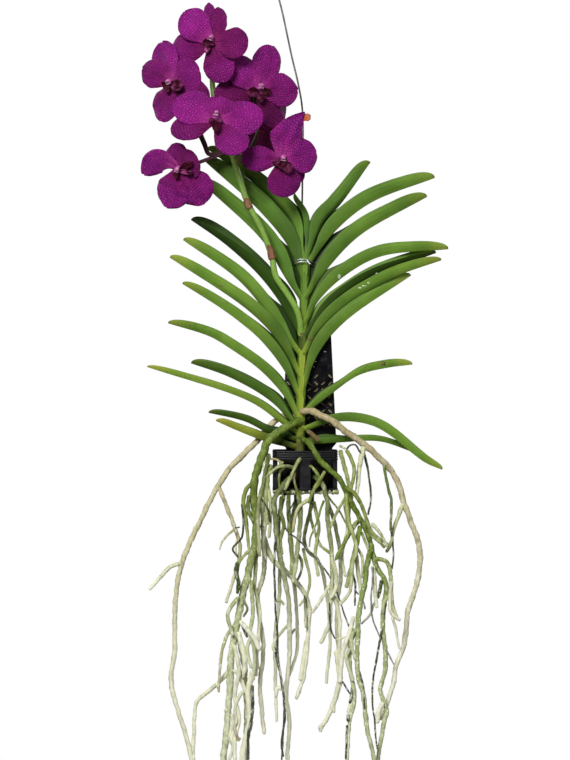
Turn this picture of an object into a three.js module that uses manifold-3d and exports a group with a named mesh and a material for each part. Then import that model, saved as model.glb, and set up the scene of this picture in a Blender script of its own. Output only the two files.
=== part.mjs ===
// A vanda orchid in bloom, growing in a small slatted basket that hangs from one bent steel wire.
// Millimetres, +Z up. The origin is the inside top of the wire's hook, where a rail or nail carries it.
import * as THREE from "three";
import { mergeVertices } from "three/addons/utils/BufferGeometryUtils.js";
import Module from "manifold-3d";

const wasm = await Module();
wasm.setup();

// ---------------------------------------------------------------- driving dimensions
// The plant is laid out from the middle of the basket's rim, which lies this far from the hook.
const HOOK_X = -28;
const HOOK_Y = 9;
const HOOK_Z = 587;
const GAP = 0.35; // clearance between a piece and the piece it grows from or rests on

const WIRE_R = 1.1; // hanger wire
const HOOK_R = 10; // centre line of the hook's bend

const BASKET_HALF = 39; // half the rim's outside width
const BASKET_DEEP = 50;
const BASKET_WALL = 2.4;
const FLOOR_THICK = 3;
const RIM_TALL = 11;
const POST_WIDE = 13; // the post in the middle of each side
const CORNER_POST = 5;
const FLOOR_BAR = 4;

const PANEL_Y = 13.5; // front face of the mesh panel behind the stem
const PANEL_THICK = 1.6;
const PANEL_TOP = 146;
const PANEL_CORNER = 6;
const PANEL_FOOT_WIDE = 56; // where it stands inside the basket
const PANEL_LOW_WIDE = 66; // just above the rim
const PANEL_HIGH_WIDE = 53;
const PANEL_MIDDLE_X = 5;
const MESH_LOW = 30;
const MESH_ROWS = 8;
const MESH_PITCH = 8.4;
const MESH_SLOT_LONG = 6.4;
const MESH_SLOT_WIDE = 2.3;

const STEM_RX = 4.6;
const STEM_RY = 5.6;
const STEM_SHEATH = 0.9; // how far a leaf sheath stands out of the stem at its top
const STEM_BOTTOM = -14;
const STEM_TOP = 244;

const SPIKE_R = 3.3; // flower spike at its foot
const SPIKE_TIP_R = 2;

const LEAF_FOOT_HALF = 7.5; // half the blade's width at the stem
const LEAF_THICK = 1.2;
const LEAF_KEEL_THICK = 2.2;
const LEAF_CLASP = 44; // degrees from the fold's middle plane to each half where the leaf clasps the stem
const LEAF_FOLD = 14; // the same just past the clasp

const TEPAL_THICK = 1;
const BLOOM_HEART_R = 5;

// ---------------------------------------------------------------- colours
const colour = (hex, roughness, metalness = 0) =>
  new THREE.MeshStandardMaterial({ color: hex, roughness, metalness });
const STEEL = colour(0x8b8d8f, 0.35, 1);
const TIE_STEEL = colour(0xc9cbcd, 0.25, 1);
const BLACK_PLASTIC = colour(0x17171a, 0.3);
const ORANGE_PLASTIC = colour(0xd9661f, 0.45);
const LEAF_GREEN = colour(0x4f7a2c, 0.5);
const YOUNG_GREEN = colour(0x7c9a3a, 0.5);
const SPIKE_GREEN = colour(0x7fa052, 0.5);
const MAGENTA = colour(0x8a1f86, 0.6);
const MAROON = colour(0x3d0a26, 0.5);
const PALE_PINK = colour(0xd9a9c6, 0.5);
const TAN_ROOT = colour(0xb3a586, 0.8);
const PALE_ROOT = colour(0xbfc6a0, 0.8);
const GREEN_ROOT = colour(0x7b8f4a, 0.8);

// ---------------------------------------------------------------- solids
function solid(geometry) {
  const bare = new THREE.BufferGeometry();
  bare.setAttribute("position", geometry.getAttribute("position"));
  if (geometry.index) bare.setIndex(geometry.index);
  const merged = mergeVertices(bare, 1e-4);
  return new wasm.Manifold(
    new wasm.Mesh({
      numProp: 3,
      vertProperties: merged.attributes.position.array,
      triVerts: new Uint32Array(merged.index.array),
    }),
  );
}

function geometryOf(manifold) {
  const mesh = manifold.getMesh();
  const geometry = new THREE.BufferGeometry();
  geometry.setAttribute("position", new THREE.BufferAttribute(new Float32Array(mesh.vertProperties), 3));
  geometry.setIndex(new THREE.BufferAttribute(new Uint32Array(mesh.triVerts), 1));
  return geometry;
}

// The largest body left after a cut; crumbs beyond the cut are dropped.
function largest(manifold) {
  return manifold.decompose().reduce((a, b) => (b.volume() > a.volume() ? b : a));
}

const join = (geometries) => geometries.map(solid).reduce((a, b) => a.add(b));

// A closed surface from vertices and triangles, turned to face outwards.
function closed(vertices, triangles) {
  const volume = triangles.reduce((sum, [a, b, c]) => {
    const cross = vertices[b].clone().cross(vertices[c]);
    return sum + vertices[a].dot(cross);
  }, 0);
  const faces = volume < 0 ? triangles.map(([a, b, c]) => [a, c, b]) : triangles;
  const geometry = new THREE.BufferGeometry().setFromPoints(vertices);
  geometry.setIndex(faces.flat());
  return geometry;
}

// A closed tube whose rings stand on the given points, each turned as little as possible from the last.
function sweep(points, radii, sides) {
  const vertices = [];
  const triangles = [];
  const normal = new THREE.Vector3(0.3, 1, 0.2);
  points.forEach((centre, i) => {
    const before = points[Math.max(0, i - 1)];
    const after = points[Math.min(points.length - 1, i + 1)];
    const along = after.clone().sub(before).normalize();
    normal.addScaledVector(along, -normal.dot(along)).normalize();
    const across = along.clone().cross(normal);
    for (let k = 0; k < sides; k++) {
      const turn = (2 * Math.PI * k) / sides;
      const vertex = centre.clone().addScaledVector(normal, radii[i] * Math.cos(turn));
      vertices.push(vertex.addScaledVector(across, radii[i] * Math.sin(turn)));
    }
  });
  const last = (points.length - 1) * sides;
  for (let a = 0; a < last; a++) {
    const b = a - (a % sides) + ((a + 1) % sides);
    triangles.push([a, b, b + sides], [a, b + sides, a + sides]);
  }
  for (let k = 1; k < sides - 1; k++) {
    triangles.push([0, k + 1, k], [last, last + k, last + k + 1]);
  }
  return closed(vertices, triangles);
}

const toVectors = (points) => points.map((p) => new THREE.Vector3(...p));

// A tube along a smooth curve through the points [x, y, z], with its own radius at every step.
function tube(points, radiusAt, { step = 18, sides = 5 } = {}) {
  const curve = new THREE.CatmullRomCurve3(toVectors(points), false, "centripetal");
  const steps = Math.max(2, Math.round(curve.getLength() / step));
  const stations = Array.from({ length: steps + 1 }, (_, i) => i / steps);
  return sweep(stations.map((t) => curve.getPointAt(t)), stations.map(radiusAt), sides);
}

// A thin closed blade between two grids of points, [station][across], split alike on both faces.
function blade(front, back) {
  const rows = front.length;
  const columns = front[0].length;
  const at = (side, i, j) => side * rows * columns + i * columns + j;
  const triangles = [];
  const quad = (a, b, c, d) => triangles.push([a, b, c], [a, c, d]);
  for (let i = 0; i < rows - 1; i++) {
    for (let j = 0; j < columns - 1; j++) {
      const corners = [[i, j], [i + 1, j], [i + 1, j + 1], [i, j + 1]];
      quad(...corners.map(([m, n]) => at(0, m, n)));
      const [a, b, c, d] = corners.map(([m, n]) => at(1, m, n));
      triangles.push([a, c, b], [a, d, c]);
    }
    quad(at(0, i, 0), at(1, i, 0), at(1, i + 1, 0), at(0, i + 1, 0));
    const j = columns - 1;
    quad(at(0, i + 1, j), at(1, i + 1, j), at(1, i, j), at(0, i, j));
  }
  for (let j = 0; j < columns - 1; j++) {
    quad(at(0, 0, j + 1), at(1, 0, j + 1), at(1, 0, j), at(0, 0, j));
    const i = rows - 1;
    quad(at(0, i, j), at(1, i, j), at(1, i, j + 1), at(0, i, j + 1));
  }
  return closed([...front.flat(), ...back.flat()], triangles);
}

const smooth = (from, to, x) => {
  const t = Math.min(1, Math.max(0, (x - from) / (to - from)));
  return t * t * (3 - 2 * t);
};
const radians = THREE.MathUtils.degToRad;
const taper = (from, to) => (t) => (from + (to - from) * t) * (t > 0.999 ? 0.45 : 1);

// ---------------------------------------------------------------- the plant
const plant = new THREE.Group();
plant.position.set(-HOOK_X, -HOOK_Y, -HOOK_Z);

function add(name, shape, material) {
  const mesh = new THREE.Mesh(shape.isBufferGeometry ? shape : geometryOf(shape), material);
  mesh.name = name;
  plant.add(mesh);
}

// ---------------------------------------------------------------- hanger wire with its hook
// One bent wire: a hook at the top, down behind the stem, through the basket floor and turned under it.
const bend = [];
for (let degrees = 180; degrees >= -30; degrees -= 30) {
  const turn = radians(degrees);
  bend.push([HOOK_X + HOOK_R * Math.cos(turn), HOOK_Y, HOOK_Z - HOOK_R + WIRE_R + HOOK_R * Math.sin(turn)]);
}
const FOOT_Z = -BASKET_DEEP - WIRE_R - GAP;
const WIRE_ROUTE = [
  ...bend.reverse(),
  [-35, HOOK_Y, 556],
  [-28, HOOK_Y, 530],
  [-16, HOOK_Y, 474],
  [-8, HOOK_Y, 440],
  [-3, HOOK_Y, 408],
  [-3, HOOK_Y, 330],
  [-4, HOOK_Y, 250],
  [-5, HOOK_Y, 120],
  [-6, HOOK_Y, 0],
  [-6, HOOK_Y, FOOT_Z + 8],
  [-6, HOOK_Y, FOOT_Z + 1.5],
  [-4.5, HOOK_Y, FOOT_Z],
  [20, HOOK_Y, FOOT_Z],
];
const wireSolid = (grow) => sweep(toVectors(WIRE_ROUTE), WIRE_ROUTE.map(() => WIRE_R + grow), 6);
add("hanger_wire", wireSolid(0), STEEL);
const wireClearance = solid(wireSolid(GAP));

// ---------------------------------------------------------------- curled clip on the wire
const CLIP_X = -3;
const CLIP_Z = 400;
const CLIP_TALL = 9;
const CLIP_THICK = 1.3;
const CLIP_TAIL = 10; // how far its free end stands out
const clipCurl = new THREE.Shape();
const curl = (radius, from, to, steps) =>
  Array.from({ length: steps + 1 }, (_, i) => {
    const turn = radians(from + ((to - from) * i) / steps);
    return new THREE.Vector2(radius * Math.cos(turn), radius * Math.sin(turn));
  });
const CLIP_INNER = WIRE_R + GAP;
clipCurl.setFromPoints([
  ...curl(CLIP_INNER + CLIP_THICK, 60, 330, 9),
  new THREE.Vector2(CLIP_TAIL, -3.2),
  new THREE.Vector2(CLIP_TAIL, -1.4),
  ...curl(CLIP_INNER, 330, 60, 9),
]);
const clip = new THREE.ExtrudeGeometry(clipCurl, { depth: CLIP_TALL, bevelEnabled: false });
clip.translate(CLIP_X, HOOK_Y, CLIP_Z - CLIP_TALL / 2);
add("wire_clip", clip, ORANGE_PLASTIC);

// ---------------------------------------------------------------- basket
// A square tub: ribbed rim, a post at each corner and in the middle of each side, and a barred floor.
function roundedSquare(half, corner) {
  const points = [];
  for (const [cx, cy, start] of [[1, 1, 0], [-1, 1, 90], [-1, -1, 180], [1, -1, 270]]) {
    for (let k = 0; k <= 2; k++) {
      const turn = radians(start + k * 45);
      points.push([
        cx * (half - corner) + corner * Math.cos(turn),
        cy * (half - corner) + corner * Math.sin(turn),
      ]);
    }
  }
  return points;
}

// A closed ring swept round the square: the profile is [how far outside the wall's inner face, z].
function squareRing(half, profile) {
  const loops = profile.map(([out, z]) =>
    roundedSquare(half + out, CORNER_R + out).map(([x, y]) => new THREE.Vector3(x, y, z)),
  );
  const around = loops[0].length;
  const triangles = [];
  loops.forEach((_, i) => {
    const next = (i + 1) % loops.length;
    for (let k = 0; k < around; k++) {
      const l = (k + 1) % around;
      const [a, b, c, d] = [i * around + k, i * around + l, next * around + l, next * around + k];
      triangles.push([a, b, c], [a, c, d]);
    }
  });
  return closed(loops.flat(), triangles);
}

const box = (x0, x1, y0, y1, z0, z1) => {
  const made = new THREE.BoxGeometry(x1 - x0, y1 - y0, z1 - z0);
  made.translate((x0 + x1) / 2, (y0 + y1) / 2, (z0 + z1) / 2);
  return made;
};

const INNER = BASKET_HALF - BASKET_WALL;
const CORNER_R = 5; // inside corner radius
const SEAT_TALL = 5; // the closed band round the floor
const SEAT_LIP = 2;
const FLOOR_TOP = -BASKET_DEEP + FLOOR_THICK;
const RIDGE = 0.9;
const rimProfile = [[0, 0], [BASKET_WALL, 0]];
for (const top of [-2.2, -5, -7.8]) {
  rimProfile.push([BASKET_WALL - RIDGE, top], [BASKET_WALL - RIDGE, top - 1.2], [BASKET_WALL, top - 1.2]);
  rimProfile.push([BASKET_WALL, top - 2.4]);
}
rimProfile.push([0, -RIM_TALL]);
const basketPieces = [
  squareRing(INNER, rimProfile),
  squareRing(INNER, [
    [-SEAT_LIP, -BASKET_DEEP + SEAT_TALL],
    [BASKET_WALL, -BASKET_DEEP + SEAT_TALL],
    [BASKET_WALL - 0.6, -BASKET_DEEP],
    [-SEAT_LIP, -BASKET_DEEP],
  ]),
];
const POST_TOP = -RIM_TALL + 1;
for (const side of [-1, 1]) {
  const [wall0, wall1] = [side * (INNER + 0.1), side * (BASKET_HALF - 0.3)].sort((a, b) => a - b);
  basketPieces.push(
    box(-POST_WIDE / 2, POST_WIDE / 2, wall0, wall1, -BASKET_DEEP + 1, POST_TOP),
    box(wall0, wall1, -POST_WIDE / 2, POST_WIDE / 2, -BASKET_DEEP + 1, POST_TOP),
  );
  for (const other of [-1, 1]) {
    const [x0, x1] = [side * (INNER - CORNER_POST + 1.4), side * (INNER + 0.6)].sort((a, b) => a - b);
    const [y0, y1] = [other * (INNER - CORNER_POST + 1.4), other * (INNER + 0.6)].sort((a, b) => a - b);
    basketPieces.push(box(x0, x1, y0, y1, -BASKET_DEEP + 1, POST_TOP));
  }
}
for (const middle of [-16, 0, 16]) {
  const reach = INNER - 1;
  const [low, high] = [middle - FLOOR_BAR / 2, middle + FLOOR_BAR / 2];
  basketPieces.push(
    box(low, high, -reach, reach, -BASKET_DEEP + 0.3, FLOOR_TOP),
    box(-reach, reach, low, high, -BASKET_DEEP + 0.5, FLOOR_TOP - 0.2),
  );
}
add("basket", join(basketPieces), BLACK_PLASTIC);

// ---------------------------------------------------------------- mesh panel behind the stem
// A tapered plate that stands on the basket floor, pierced with slots set crosswise like a cane weave.
const panelShape = new THREE.Shape();
const panelEdge = [
  [PANEL_FOOT_WIDE / 2, FLOOR_TOP + GAP],
  [PANEL_FOOT_WIDE / 2, 2],
  [PANEL_LOW_WIDE / 2, 8],
  [PANEL_HIGH_WIDE / 2, PANEL_TOP - PANEL_CORNER],
  [PANEL_HIGH_WIDE / 2 - PANEL_CORNER, PANEL_TOP],
];
panelShape.setFromPoints([
  ...panelEdge.map(([x, z]) => new THREE.Vector2(x, z)),
  ...panelEdge.toReversed().map(([x, z]) => new THREE.Vector2(-x, z)),
]);
for (let row = 0; row < MESH_ROWS; row++) {
  const z = MESH_LOW + row * MESH_PITCH;
  for (let column = -3; column <= 3; column++) {
    if (row === MESH_ROWS - 1 && column % 2 === 0) continue;
    const lean = (row + column) % 2 === 0 ? 45 : -45;
    const slot = new THREE.Path();
    slot.setFromPoints(
      [[1, 1], [-1, 1], [-1, -1], [1, -1]].map(([along, across]) =>
        new THREE.Vector2((along * MESH_SLOT_LONG) / 2, (across * MESH_SLOT_WIDE) / 2)
          .rotateAround(new THREE.Vector2(), radians(lean))
          .add(new THREE.Vector2(column * MESH_PITCH, z)),
      ),
    );
    panelShape.holes.push(slot);
  }
}
const panel = new THREE.ExtrudeGeometry(panelShape, { depth: PANEL_THICK, bevelEnabled: false });
panel.rotateX(Math.PI / 2);
panel.translate(PANEL_MIDDLE_X, PANEL_Y + PANEL_THICK, 0);
add("mesh_panel", panel, BLACK_PLASTIC);

// ---------------------------------------------------------------- stem
// The stem leans a little; each leaf's sheath swells it and ends in a small step.
const stemX = (z) => -6.2 + 0.02 * Math.max(0, z) + 0.00005 * Math.max(0, z) ** 2;
const SHEATH_TOPS = [2, 14, 28, 42, 58, 74, 94, 116, 138, 160, 184, 208, 228];

function stemSolid(grow) {
  const heights = [STEM_BOTTOM, ...SHEATH_TOPS.flatMap((z) => [z - 2, z]), STEM_TOP];
  const sides = 8;
  const vertices = [];
  const triangles = [];
  heights.forEach((z, i) => {
    const swell = i % 2 === 1 ? STEM_SHEATH : 0;
    const fade = 1 - 0.35 * smooth(150, STEM_TOP, z);
    for (let k = 0; k < sides; k++) {
      const turn = (2 * Math.PI * (k + 0.5)) / sides;
      vertices.push(
        new THREE.Vector3(
          stemX(z) + (STEM_RX * fade + swell + grow) * Math.cos(turn),
          (STEM_RY * fade + swell * 0.5 + grow) * Math.sin(turn),
          z + (i === 0 ? -grow : 0) + (i === heights.length - 1 ? grow : 0),
        ),
      );
    }
  });
  const last = (heights.length - 1) * sides;
  for (let i = 0; i < last; i++) {
    const a = i;
    const b = i - (i % sides) + ((i + 1) % sides);
    triangles.push([a, b, b + sides], [a, b + sides, a + sides]);
  }
  for (let k = 1; k < sides - 1; k++) {
    triangles.push([0, k + 1, k], [last, last + k, last + k + 1]);
  }
  return solid(closed(vertices, triangles));
}

add("stem", stemSolid(0), YOUNG_GREEN);
const stemClearance = stemSolid(GAP);

// ---------------------------------------------------------------- leaves
// Each leaf is folded along its keel like a gutter. The keel runs through the points [x, z] from the
// stem to the tip; sway carries the tip back (+) or forward (-); wide is one half's width; near and far
// are how far the front and back halves open, in degrees from the fold's middle plane, at the tip.
const LEAVES = [
  {
    name: "leaf_heart", side: 1, keel: [[4, 241], [6, 258], [4, 284], [-12, 308]], foot: 3.5, wide: 8,
    near: 14, far: 14,
  },
  {
    name: "leaf_left_1", side: -1, keel: [[-5, 226], [-19, 274], [-52, 312], [-118, 362]], foot: 6,
    wide: 17, sway: 6,
  },
  {
    name: "leaf_left_2", side: -1, keel: [[-7, 206], [-18, 240], [-52, 284], [-121, 347]], wide: 23,
    near: 18,
  },
  { name: "leaf_left_3", side: -1, keel: [[-8, 180], [-26, 210], [-52, 252], [-126, 322]], wide: 19 },
  {
    name: "leaf_left_4", side: -1, keel: [[-10, 138], [-26, 168], [-54, 204], [-136, 276]], wide: 18,
    near: 50, far: 14,
  },
  { name: "leaf_left_5", side: -1, keel: [[-10, 114], [-36, 150], [-78, 202], [-145, 253]], wide: 16 },
  { name: "leaf_left_6", side: -1, keel: [[-10, 90], [-30, 126], [-66, 162], [-161, 230]], wide: 17 },
  { name: "leaf_left_7", side: -1, keel: [[-10, 65], [-26, 96], [-52, 126], [-146, 197]], wide: 13 },
  {
    name: "leaf_left_8", side: -1, keel: [[-10, 38], [-26, 66], [-54, 96], [-163, 151]], wide: 12,
    near: 30,
  },
  {
    name: "leaf_left_9", side: -1, keel: [[-11, 27], [-42, 60], [-90, 89], [-137, 106]], foot: 4.5,
    wide: 13, near: 40, far: 8,
  },
  {
    name: "leaf_left_10", side: -1, keel: [[-11, 18], [-30, 31], [-66, 56], [-188, 99]], wide: 9,
    sway: -10,
  },
  {
    name: "leaf_left_11", side: -1, keel: [[-11, 10], [-40, 18], [-72, 34], [-115, 45]], wide: 9,
    near: 45, far: 14, sway: 8,
  },
  {
    name: "leaf_left_12", side: -1, keel: [[-11, 1], [-44, 8], [-78, 20], [-106, 34]], wide: 11,
    near: 34, far: 34, sway: -8,
  },
  {
    name: "leaf_right_1", side: 1, keel: [[6, 236], [24, 276], [42, 294], [79, 345]], foot: 6,
    wide: 15, sway: 8,
  },
  { name: "leaf_right_2", side: 1, keel: [[6, 222], [36, 264], [78, 298], [155, 327]], foot: 7, wide: 18 },
  { name: "leaf_right_3", side: 1, keel: [[3, 184], [30, 222], [66, 259], [146, 305]], wide: 18 },
  {
    name: "leaf_right_4", side: 1, keel: [[1, 154], [18, 181], [48, 211], [90, 234], [171, 241]],
    wide: 16, sway: -19,
  },
  {
    name: "leaf_right_5", side: 1, keel: [[0, 134], [36, 176], [84, 210], [157, 237]], wide: 14,
    near: 16, far: 12, sway: -8,
  },
  {
    name: "leaf_right_6", side: 1, keel: [[0, 112], [18, 138], [54, 176], [96, 203], [162, 227]],
    wide: 16, near: 34, far: 34, sway: -14,
  },
  {
    name: "leaf_right_7", side: 1, keel: [[-1, 76], [18, 119], [48, 153], [126, 208]], wide: 14,
    near: 30, far: 28,
  },
  { name: "leaf_right_8", side: 1, keel: [[-1, 44], [30, 68], [64, 90], [128, 104]], wide: 10, near: 26 },
  {
    name: "leaf_right_9", side: 1, keel: [[-1, 22], [38, 35], [84, 31], [144, -13], [163, -22]],
    wide: 13, sway: -8,
  },
  { name: "leaf_right_10", side: 1, keel: [[-1, 6], [42, 9], [90, 10], [130, -3]], wide: 8, sway: 22 },
];
const LEAF_ROUND_FROM = 0.74; // where along the leaf its tip starts to round
const LEAF_CLASP_TO = 0.22;
const LEAF_WIDE_FROM = 0.34;
const LEAF_STATIONS = [0, 0.1, 0.22, 0.36, 0.54, 0.72, 0.87, 0.96, 1];

function leafSolid({ side, keel, foot = LEAF_FOOT_HALF, wide, near = 24, far = 24, sway = 0 }) {
  const last = keel.length - 1;
  const line = new THREE.CatmullRomCurve3(
    keel.map(([x, z], i) => new THREE.Vector3(x, sway * (i / last) ** 2, z)),
    false,
    "centripetal",
  );
  const inner = [];
  const outer = [];
  for (const s of LEAF_STATIONS) {
    const ridge = line.getPointAt(s);
    const along = line.getTangentAt(s);
    const up = new THREE.Vector3(-side * along.z, 0, side * along.x).normalize();
    const tip = Math.sqrt(1 - (Math.max(0, s - LEAF_ROUND_FROM) / (1.008 - LEAF_ROUND_FROM)) ** 2);
    const half = (foot + (wide - foot) * smooth(0, LEAF_WIDE_FROM, s)) * tip;
    const thick = LEAF_THICK * (1 - 0.3 * s);
    const keelThick = Math.min(0.4 * half, LEAF_KEEL_THICK * (1 + 0.6 * (1 - s)));
    const ring = { inner: [], outer: [] };
    for (const [front, opening] of [[-1, near], [1, far]]) {
      const clasp = (LEAF_CLASP - LEAF_FOLD) * (1 - smooth(0, LEAF_CLASP_TO, s));
      const angle = radians(LEAF_FOLD + clasp + (opening - LEAF_FOLD) * s);
      const reach = up.clone().multiplyScalar(Math.cos(angle));
      reach.y += front * Math.sin(angle);
      const inwards = up.clone().multiplyScalar(Math.sin(angle));
      inwards.y -= front * Math.cos(angle);
      const edge = ridge.clone().addScaledVector(reach, half);
      ring.outer.push(edge);
      ring.inner.push(edge.clone().addScaledVector(inwards, thick));
    }
    outer.push([ring.outer[0], ridge, ring.outer[1]]);
    inner.push([ring.inner[0], ridge.clone().addScaledVector(up, keelThick + 1), ring.inner[1]]);
  }
  return largest(solid(blade(inner, outer)).subtract(stemClearance));
}
for (const leaf of LEAVES) add(leaf.name, leafSolid(leaf), LEAF_GREEN);

// ---------------------------------------------------------------- flower spike
// It leaves the stem in front of a leaf axil, leans left and carries a bract at each joint.
const SPIKE_ROUTE = [
  [-5, -7, 152],
  [-10, -13, 166],
  [-26, -19, 198],
  [-40, -23, 232],
  [-52, -27, 264],
  [-66, -31, 296],
  [-79, -34, 336],
  [-90, -34, 362],
  [-104, -30, 400],
  [-110, -28, 432],
  [-110, -28, 462],
];
const spikeRadius = (t) => SPIKE_R + (SPIKE_TIP_R - SPIKE_R) * t;
const spikeTube = (grow) => tube(SPIKE_ROUTE, (t) => spikeRadius(t) + grow, { step: 25, sides: 6 });
// A bract is a short pointed scale wrapped round the spike: [point below, point above, tip].
const BRACTS = [
  [[-39, -23, 228], [-42, -24, 240], [-46, -27, 246]],
  [[-65, -31, 292], [-69, -32, 303], [-72, -36, 309]],
  [[-80, -34, 341], [-76, -37, 348], [-70, -40, 351]],
  [[-88, -34, 356], [-94, -37, 361], [-100, -40, 362]],
];
const BRACT_R = 4.1;
const BRACT_TIP_R = 1.1;
const bractTube = (points, grow) =>
  tube(points, (t) => BRACT_R + (BRACT_TIP_R - BRACT_R) * t + grow, { step: 7, sides: 5 });
const spikeSolid = (grow) => join([spikeTube(grow), ...BRACTS.map((points) => bractTube(points, grow))]);
add("flower_spike", largest(spikeSolid(0).subtract(stemClearance)), SPIKE_GREEN);
const spikeClearance = spikeSolid(GAP);

// ---------------------------------------------------------------- blooms
// Each bloom faces along yaw (right +) and pitch (up +), with its dorsal sepal turned by roll, clockwise.
// A tepal is [turn from up, long, wide, lift off the face towards the viewer, bend along it], in degrees
// and millimetres. Its stalk runs from the bloom's back through the given points to the spike.
const BLOOMS = [
  {
    name: "bloom_1", at: [-109, -58, 484], yaw: -12, pitch: 8, roll: 18, stalk: [[-110, -28, 455]],
    tepals: [
      [1, 52, 32, -12, -18], [93, 42, 36, 8, -22], [-50, 50, 40, 14, -18],
      [163, 54, 42, -6, -14], [-99, 60, 38, 2, -8],
    ],
  },
  {
    name: "bloom_2", at: [-154, -48, 434], yaw: -34, pitch: 4, roll: -22,
    stalk: [[-140, -34, 418], [-124, -40, 382], [-114, -42, 356], [-105, -39, 361], [-95, -33, 371]],
    tepals: [
      [-34, 54, 32, -14, -12], [64, 42, 40, -6, -8], [-66, 56, 38, 14, -20],
      [-154, 50, 34, 4, -18], [132, 42, 34, -18, -14],
    ],
  },
  {
    name: "bloom_3", at: [-55, -40, 427], yaw: 22, pitch: 8, roll: 10,
    stalk: [[-58, -18, 410], [-58, -20, 376], [-82, -33, 342]],
    tepals: [
      [19, 58, 38, 2, -16], [90, 52, 40, 6, -20], [-42, 46, 34, 10, -20],
      [144, 54, 40, -20, -18], [-86, 48, 28, -16, -12],
    ],
  },
  {
    name: "bloom_4", at: [-106, -90, 386], yaw: 0, pitch: 24, roll: 8, stalk: [[-97, -32, 380]],
    tepals: [
      [8, 46, 52, -6, -14], [78, 56, 42, 4, -16], [-54, 54, 46, 6, -16],
      [134, 50, 42, 6, -20], [-108, 54, 34, 2, -16],
    ],
  },
  {
    name: "bloom_5", at: [-26, -62, 345], yaw: 8, pitch: -6, roll: 4,
    stalk: [[-62, -42, 346], [-80, -36, 345]],
    tepals: [
      [10, 56, 42, 6, -10], [74, 46, 42, 0, -24], [-84, 50, 34, 4, -14],
      [136, 44, 34, -22, -24], [179, 48, 42, 4, -14],
    ],
  },
  {
    name: "bloom_6", at: [-146, -58, 336], yaw: -26, pitch: -12, roll: 20, stalk: [[-92, -36, 358]],
    tepals: [
      [-6, 36, 38, -12, -26], [52, 36, 34, -28, -30], [-80, 60, 34, 16, -30],
      [148, 52, 42, 4, -10], [-160, 54, 40, 10, -10],
    ],
  },
  {
    name: "bloom_7", at: [-60, 24, 386], yaw: 150, pitch: -4, roll: 0,
    stalk: [[-80, 4, 382], [-98, -31.5, 384]],
    tepals: [
      [0, 46, 34, 0, -18], [66, 46, 38, 6, -18], [-66, 46, 38, 6, -18],
      [142, 48, 40, 0, -16], [-142, 48, 40, 0, -16],
    ],
  },
];
const TEPAL_CUP = -0.12; // how far its sides curl back, as a share of its half width
const STALK_R = 2.6;
const STALK_END_R = 1.7;
const COLUMN_SEAT = 3; // its foot lies this far in front of the heart's middle
const COLUMN_LONG = 8; // how far it stands out of the heart
const COLUMN_R = 3.2;
const LIP_LONG = 17;
const LIP_WIDE = 13;
const LOBE_LONG = 9;
const LOBE_WIDE = 8;
const TEPAL_STATIONS = [0.04, 0.26, 0.45, 0.66, 0.86, 0.98];
const LIP_STATIONS = [0.04, 0.45, 0.78, 0.98];
const LOBE_STATIONS = [0.04, 0.6, 0.96];

function faceOf({ at, yaw, pitch, roll }) {
  const [turn, nod, spin] = [radians(yaw), radians(pitch), radians(roll)];
  const out = new THREE.Vector3(
    Math.sin(turn) * Math.cos(nod),
    -Math.cos(turn) * Math.cos(nod),
    Math.sin(nod),
  );
  const right = new THREE.Vector3(Math.cos(turn), Math.sin(turn), 0);
  const up = out.clone().cross(right);
  const dorsal = up.clone().multiplyScalar(Math.cos(spin)).addScaledVector(right, Math.sin(spin));
  const across = right.clone().multiplyScalar(Math.cos(spin)).addScaledVector(up, -Math.sin(spin));
  return { centre: new THREE.Vector3(...at), out, right, up, dorsal, across };
}

// Narrow at the claw, widest past the middle, round at the end.
function tepalWidth(t) {
  const widest = 0.6;
  const claw = 0.24;
  if (t > widest) return Math.sqrt(1 - ((t - widest) / (1.005 - widest)) ** 2);
  return claw + (1 - claw) * smooth(0, widest, t);
}

// A blade that leaves the middle at the given turn, lifts towards the viewer and bends along its length.
function petal(face, [turn, long, wide, lift, bendBy], stations, cup) {
  const clockwise = radians(turn);
  const along = face.up.clone().multiplyScalar(Math.cos(clockwise));
  along.addScaledVector(face.right, Math.sin(clockwise));
  const side = face.right.clone().multiplyScalar(Math.cos(clockwise));
  side.addScaledVector(face.up, -Math.sin(clockwise));
  const front = [];
  const back = [];
  const place = face.centre.clone();
  let done = 0;
  for (const t of stations) {
    const angle = radians(lift + bendBy * 2 * (t - 0.2));
    const forward = along.clone().multiplyScalar(Math.cos(angle));
    forward.addScaledVector(face.out, Math.sin(angle));
    const off = face.out.clone().multiplyScalar(Math.cos(angle)).addScaledVector(along, -Math.sin(angle));
    place.addScaledVector(forward, (t - done) * long);
    done = t;
    const half = (wide / 2) * tepalWidth(t);
    const row = [-1, 0, 1].map((v) =>
      place.clone().addScaledVector(side, v * half).addScaledVector(off, cup * half * v * v),
    );
    front.push(row.map((p) => p.clone().addScaledVector(off, TEPAL_THICK / 2)));
    back.push(row.map((p) => p.clone().addScaledVector(off, -TEPAL_THICK / 2)));
  }
  return blade(front, back);
}

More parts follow.
